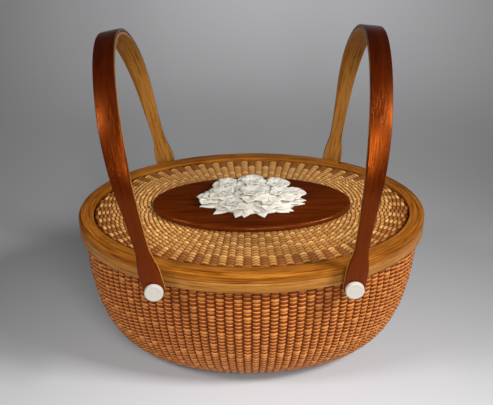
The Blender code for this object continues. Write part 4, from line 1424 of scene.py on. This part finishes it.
def build_stage(stage):
    """Camera, floor, lamps and fill light."""
    build_camera(stage)
    build_floor(stage)
    for name, (place, aim, size, spread) in LAMPS.items():
        power = getattr(stage, name + "_power")
        build_lamp(name + "_lamp", place, aim, size, power, spread)
    world = bpy.data.worlds.new("studio")
    world.use_nodes = True
    background = world.node_tree.nodes["Background"]
    background.inputs["Color"].default_value = FILL_COLOUR
    graph = Graph(world.node_tree)
    seen = graph.add("ShaderNodeLightPath").outputs["Is Camera Ray"]
    beyond = graph.math("MULTIPLY", seen, stage.beyond)
    graph.join(graph.math("ADD", beyond, stage.world), background.inputs["Strength"])
    bpy.context.scene.world = world
    bpy.context.scene.view_settings.view_transform = "Standard"


class BASKET_OT_stage(bpy.types.Operator):
    """Set up the camera, the paper sweep and the lamps"""
    bl_idname = "basket.stage"
    bl_label = "Stage"

    def execute(self, context):
        build_stage(context.scene.basket_stage)
        return {"FINISHED"}


class BASKET_OT_shader_groups(bpy.types.Operator):
    """Build the shader groups that the woods and canes share"""
    bl_idname = "basket.shader_groups"
    bl_label = "Shader Groups"

    def execute(self, context):
        build_grain_group()
        build_fibre_group()
        build_rub_group()
        return {"FINISHED"}


class BASKET_OT_woven_body(bpy.types.Operator):
    """Weave the body of the basket"""
    bl_idname = "basket.woven_body"
    bl_label = "Woven Body"

    def execute(self, context):
        build_woven_body(context.scene.basket_weave)
        return {"FINISHED"}


class BASKET_OT_woven_lid(bpy.types.Operator):
    """Weave the top of the lid"""
    bl_idname = "basket.woven_lid"
    bl_label = "Woven Lid"

    def execute(self, context):
        build_woven_lid(context.scene.basket_weave)
        return {"FINISHED"}


class BASKET_OT_rims(bpy.types.Operator):
    """Bend the basket's rim hoops"""
    bl_idname = "basket.rims"
    bl_label = "Basket Rim"

    def execute(self, context):
        build_rims(context.scene.basket_wood)
        return {"FINISHED"}


class BASKET_OT_lid_frame(bpy.types.Operator):
    """Bend the lid's rim hoops"""
    bl_idname = "basket.lid_frame"
    bl_label = "Lid Rim"

    def execute(self, context):
        build_lid_frame(context.scene.basket_wood)
        return {"FINISHED"}


class BASKET_OT_plaque(bpy.types.Operator):
    """Shape the plaque on the lid"""
    bl_idname = "basket.plaque"
    bl_label = "Plaque"

    def execute(self, context):
        build_plaque(context.scene.basket_wood)
        return {"FINISHED"}


class BASKET_OT_carving(bpy.types.Operator):
    """Carve the spray of flowers and leaves"""
    bl_idname = "basket.carving"
    bl_label = "Carving"

    def execute(self, context):
        build_carving(context.scene.basket_trim)
        return {"FINISHED"}


class BASKET_OT_handles(bpy.types.Operator):
    """Bend the two swing handles"""
    bl_idname = "basket.handles"
    bl_label = "Handles"

    def execute(self, context):
        build_handles(context.scene.basket_wood)
        return {"FINISHED"}


class BASKET_OT_knobs(bpy.types.Operator):
    """Turn the bone knobs"""
    bl_idname = "basket.knobs"
    bl_label = "Knobs"

    def execute(self, context):
        build_knobs(context.scene.basket_trim)
        return {"FINISHED"}


class BASKET_OT_packed_nodes(bpy.types.Operator):
    """Finish the board, plate, locating hoop, pins and spacers"""
    bl_idname = "basket.packed_nodes"
    bl_label = "Board, Pins and Spacers"

    def execute(self, context):
        finish_packed_nodes(context.scene.basket_wood, context.scene.basket_trim)
        return {"FINISHED"}


class BASKET_PT_panel(bpy.types.Panel):
    """Lists the basket's pieces in the order they are made"""
    bl_idname = "BASKET_PT_panel"
    bl_label = "Covered Cane Basket"
    bl_space_type = "VIEW_3D"
    bl_region_type = "UI"
    bl_category = "Basket"

    def draw(self, context):
        for operator in OPERATORS:
            self.layout.operator(operator.bl_idname)
        for name in SETTINGS:
            box = self.layout.box()
            settings = getattr(context.scene, name)
            for label in settings.__annotations__:
                box.prop(settings, label)


OPERATORS = (
    BASKET_OT_shader_groups,
    BASKET_OT_stage,
    BASKET_OT_woven_body,
    BASKET_OT_woven_lid,
    BASKET_OT_rims,
    BASKET_OT_lid_frame,
    BASKET_OT_plaque,
    BASKET_OT_carving,
    BASKET_OT_handles,
    BASKET_OT_knobs,
    BASKET_OT_packed_nodes,
)
SETTINGS = {
    "basket_weave": BasketWeaveSettings,
    "basket_wood": BasketWoodSettings,
    "basket_trim": BasketTrimSettings,
    "basket_stage": BasketStageSettings,
}


def register():
    """Register the settings, operators and panel."""
    for name, group in SETTINGS.items():
        bpy.utils.register_class(group)
        setattr(bpy.types.Scene, name, bpy.props.PointerProperty(type=group))
    for item in (*OPERATORS, BASKET_PT_panel):
        bpy.utils.register_class(item)


def unregister():
    """Remove what register added."""
    for item in reversed((*OPERATORS, BASKET_PT_panel)):
        bpy.utils.unregister_class(item)
    for name, group in SETTINGS.items():
        delattr(bpy.types.Scene, name)
        bpy.utils.unregister_class(group)


def main():
    """Make every piece in order."""
    register()
    bpy.ops.basket.shader_groups()
    bpy.ops.basket.stage()
    bpy.ops.basket.woven_body()
    bpy.ops.basket.woven_lid()
    bpy.ops.basket.rims()
    bpy.ops.basket.lid_frame()
    bpy.ops.basket.plaque()
    bpy.ops.basket.carving()
    bpy.ops.basket.handles()
    bpy.ops.basket.knobs()
    bpy.ops.basket.packed_nodes()


if __name__ == "__main__":
    main()
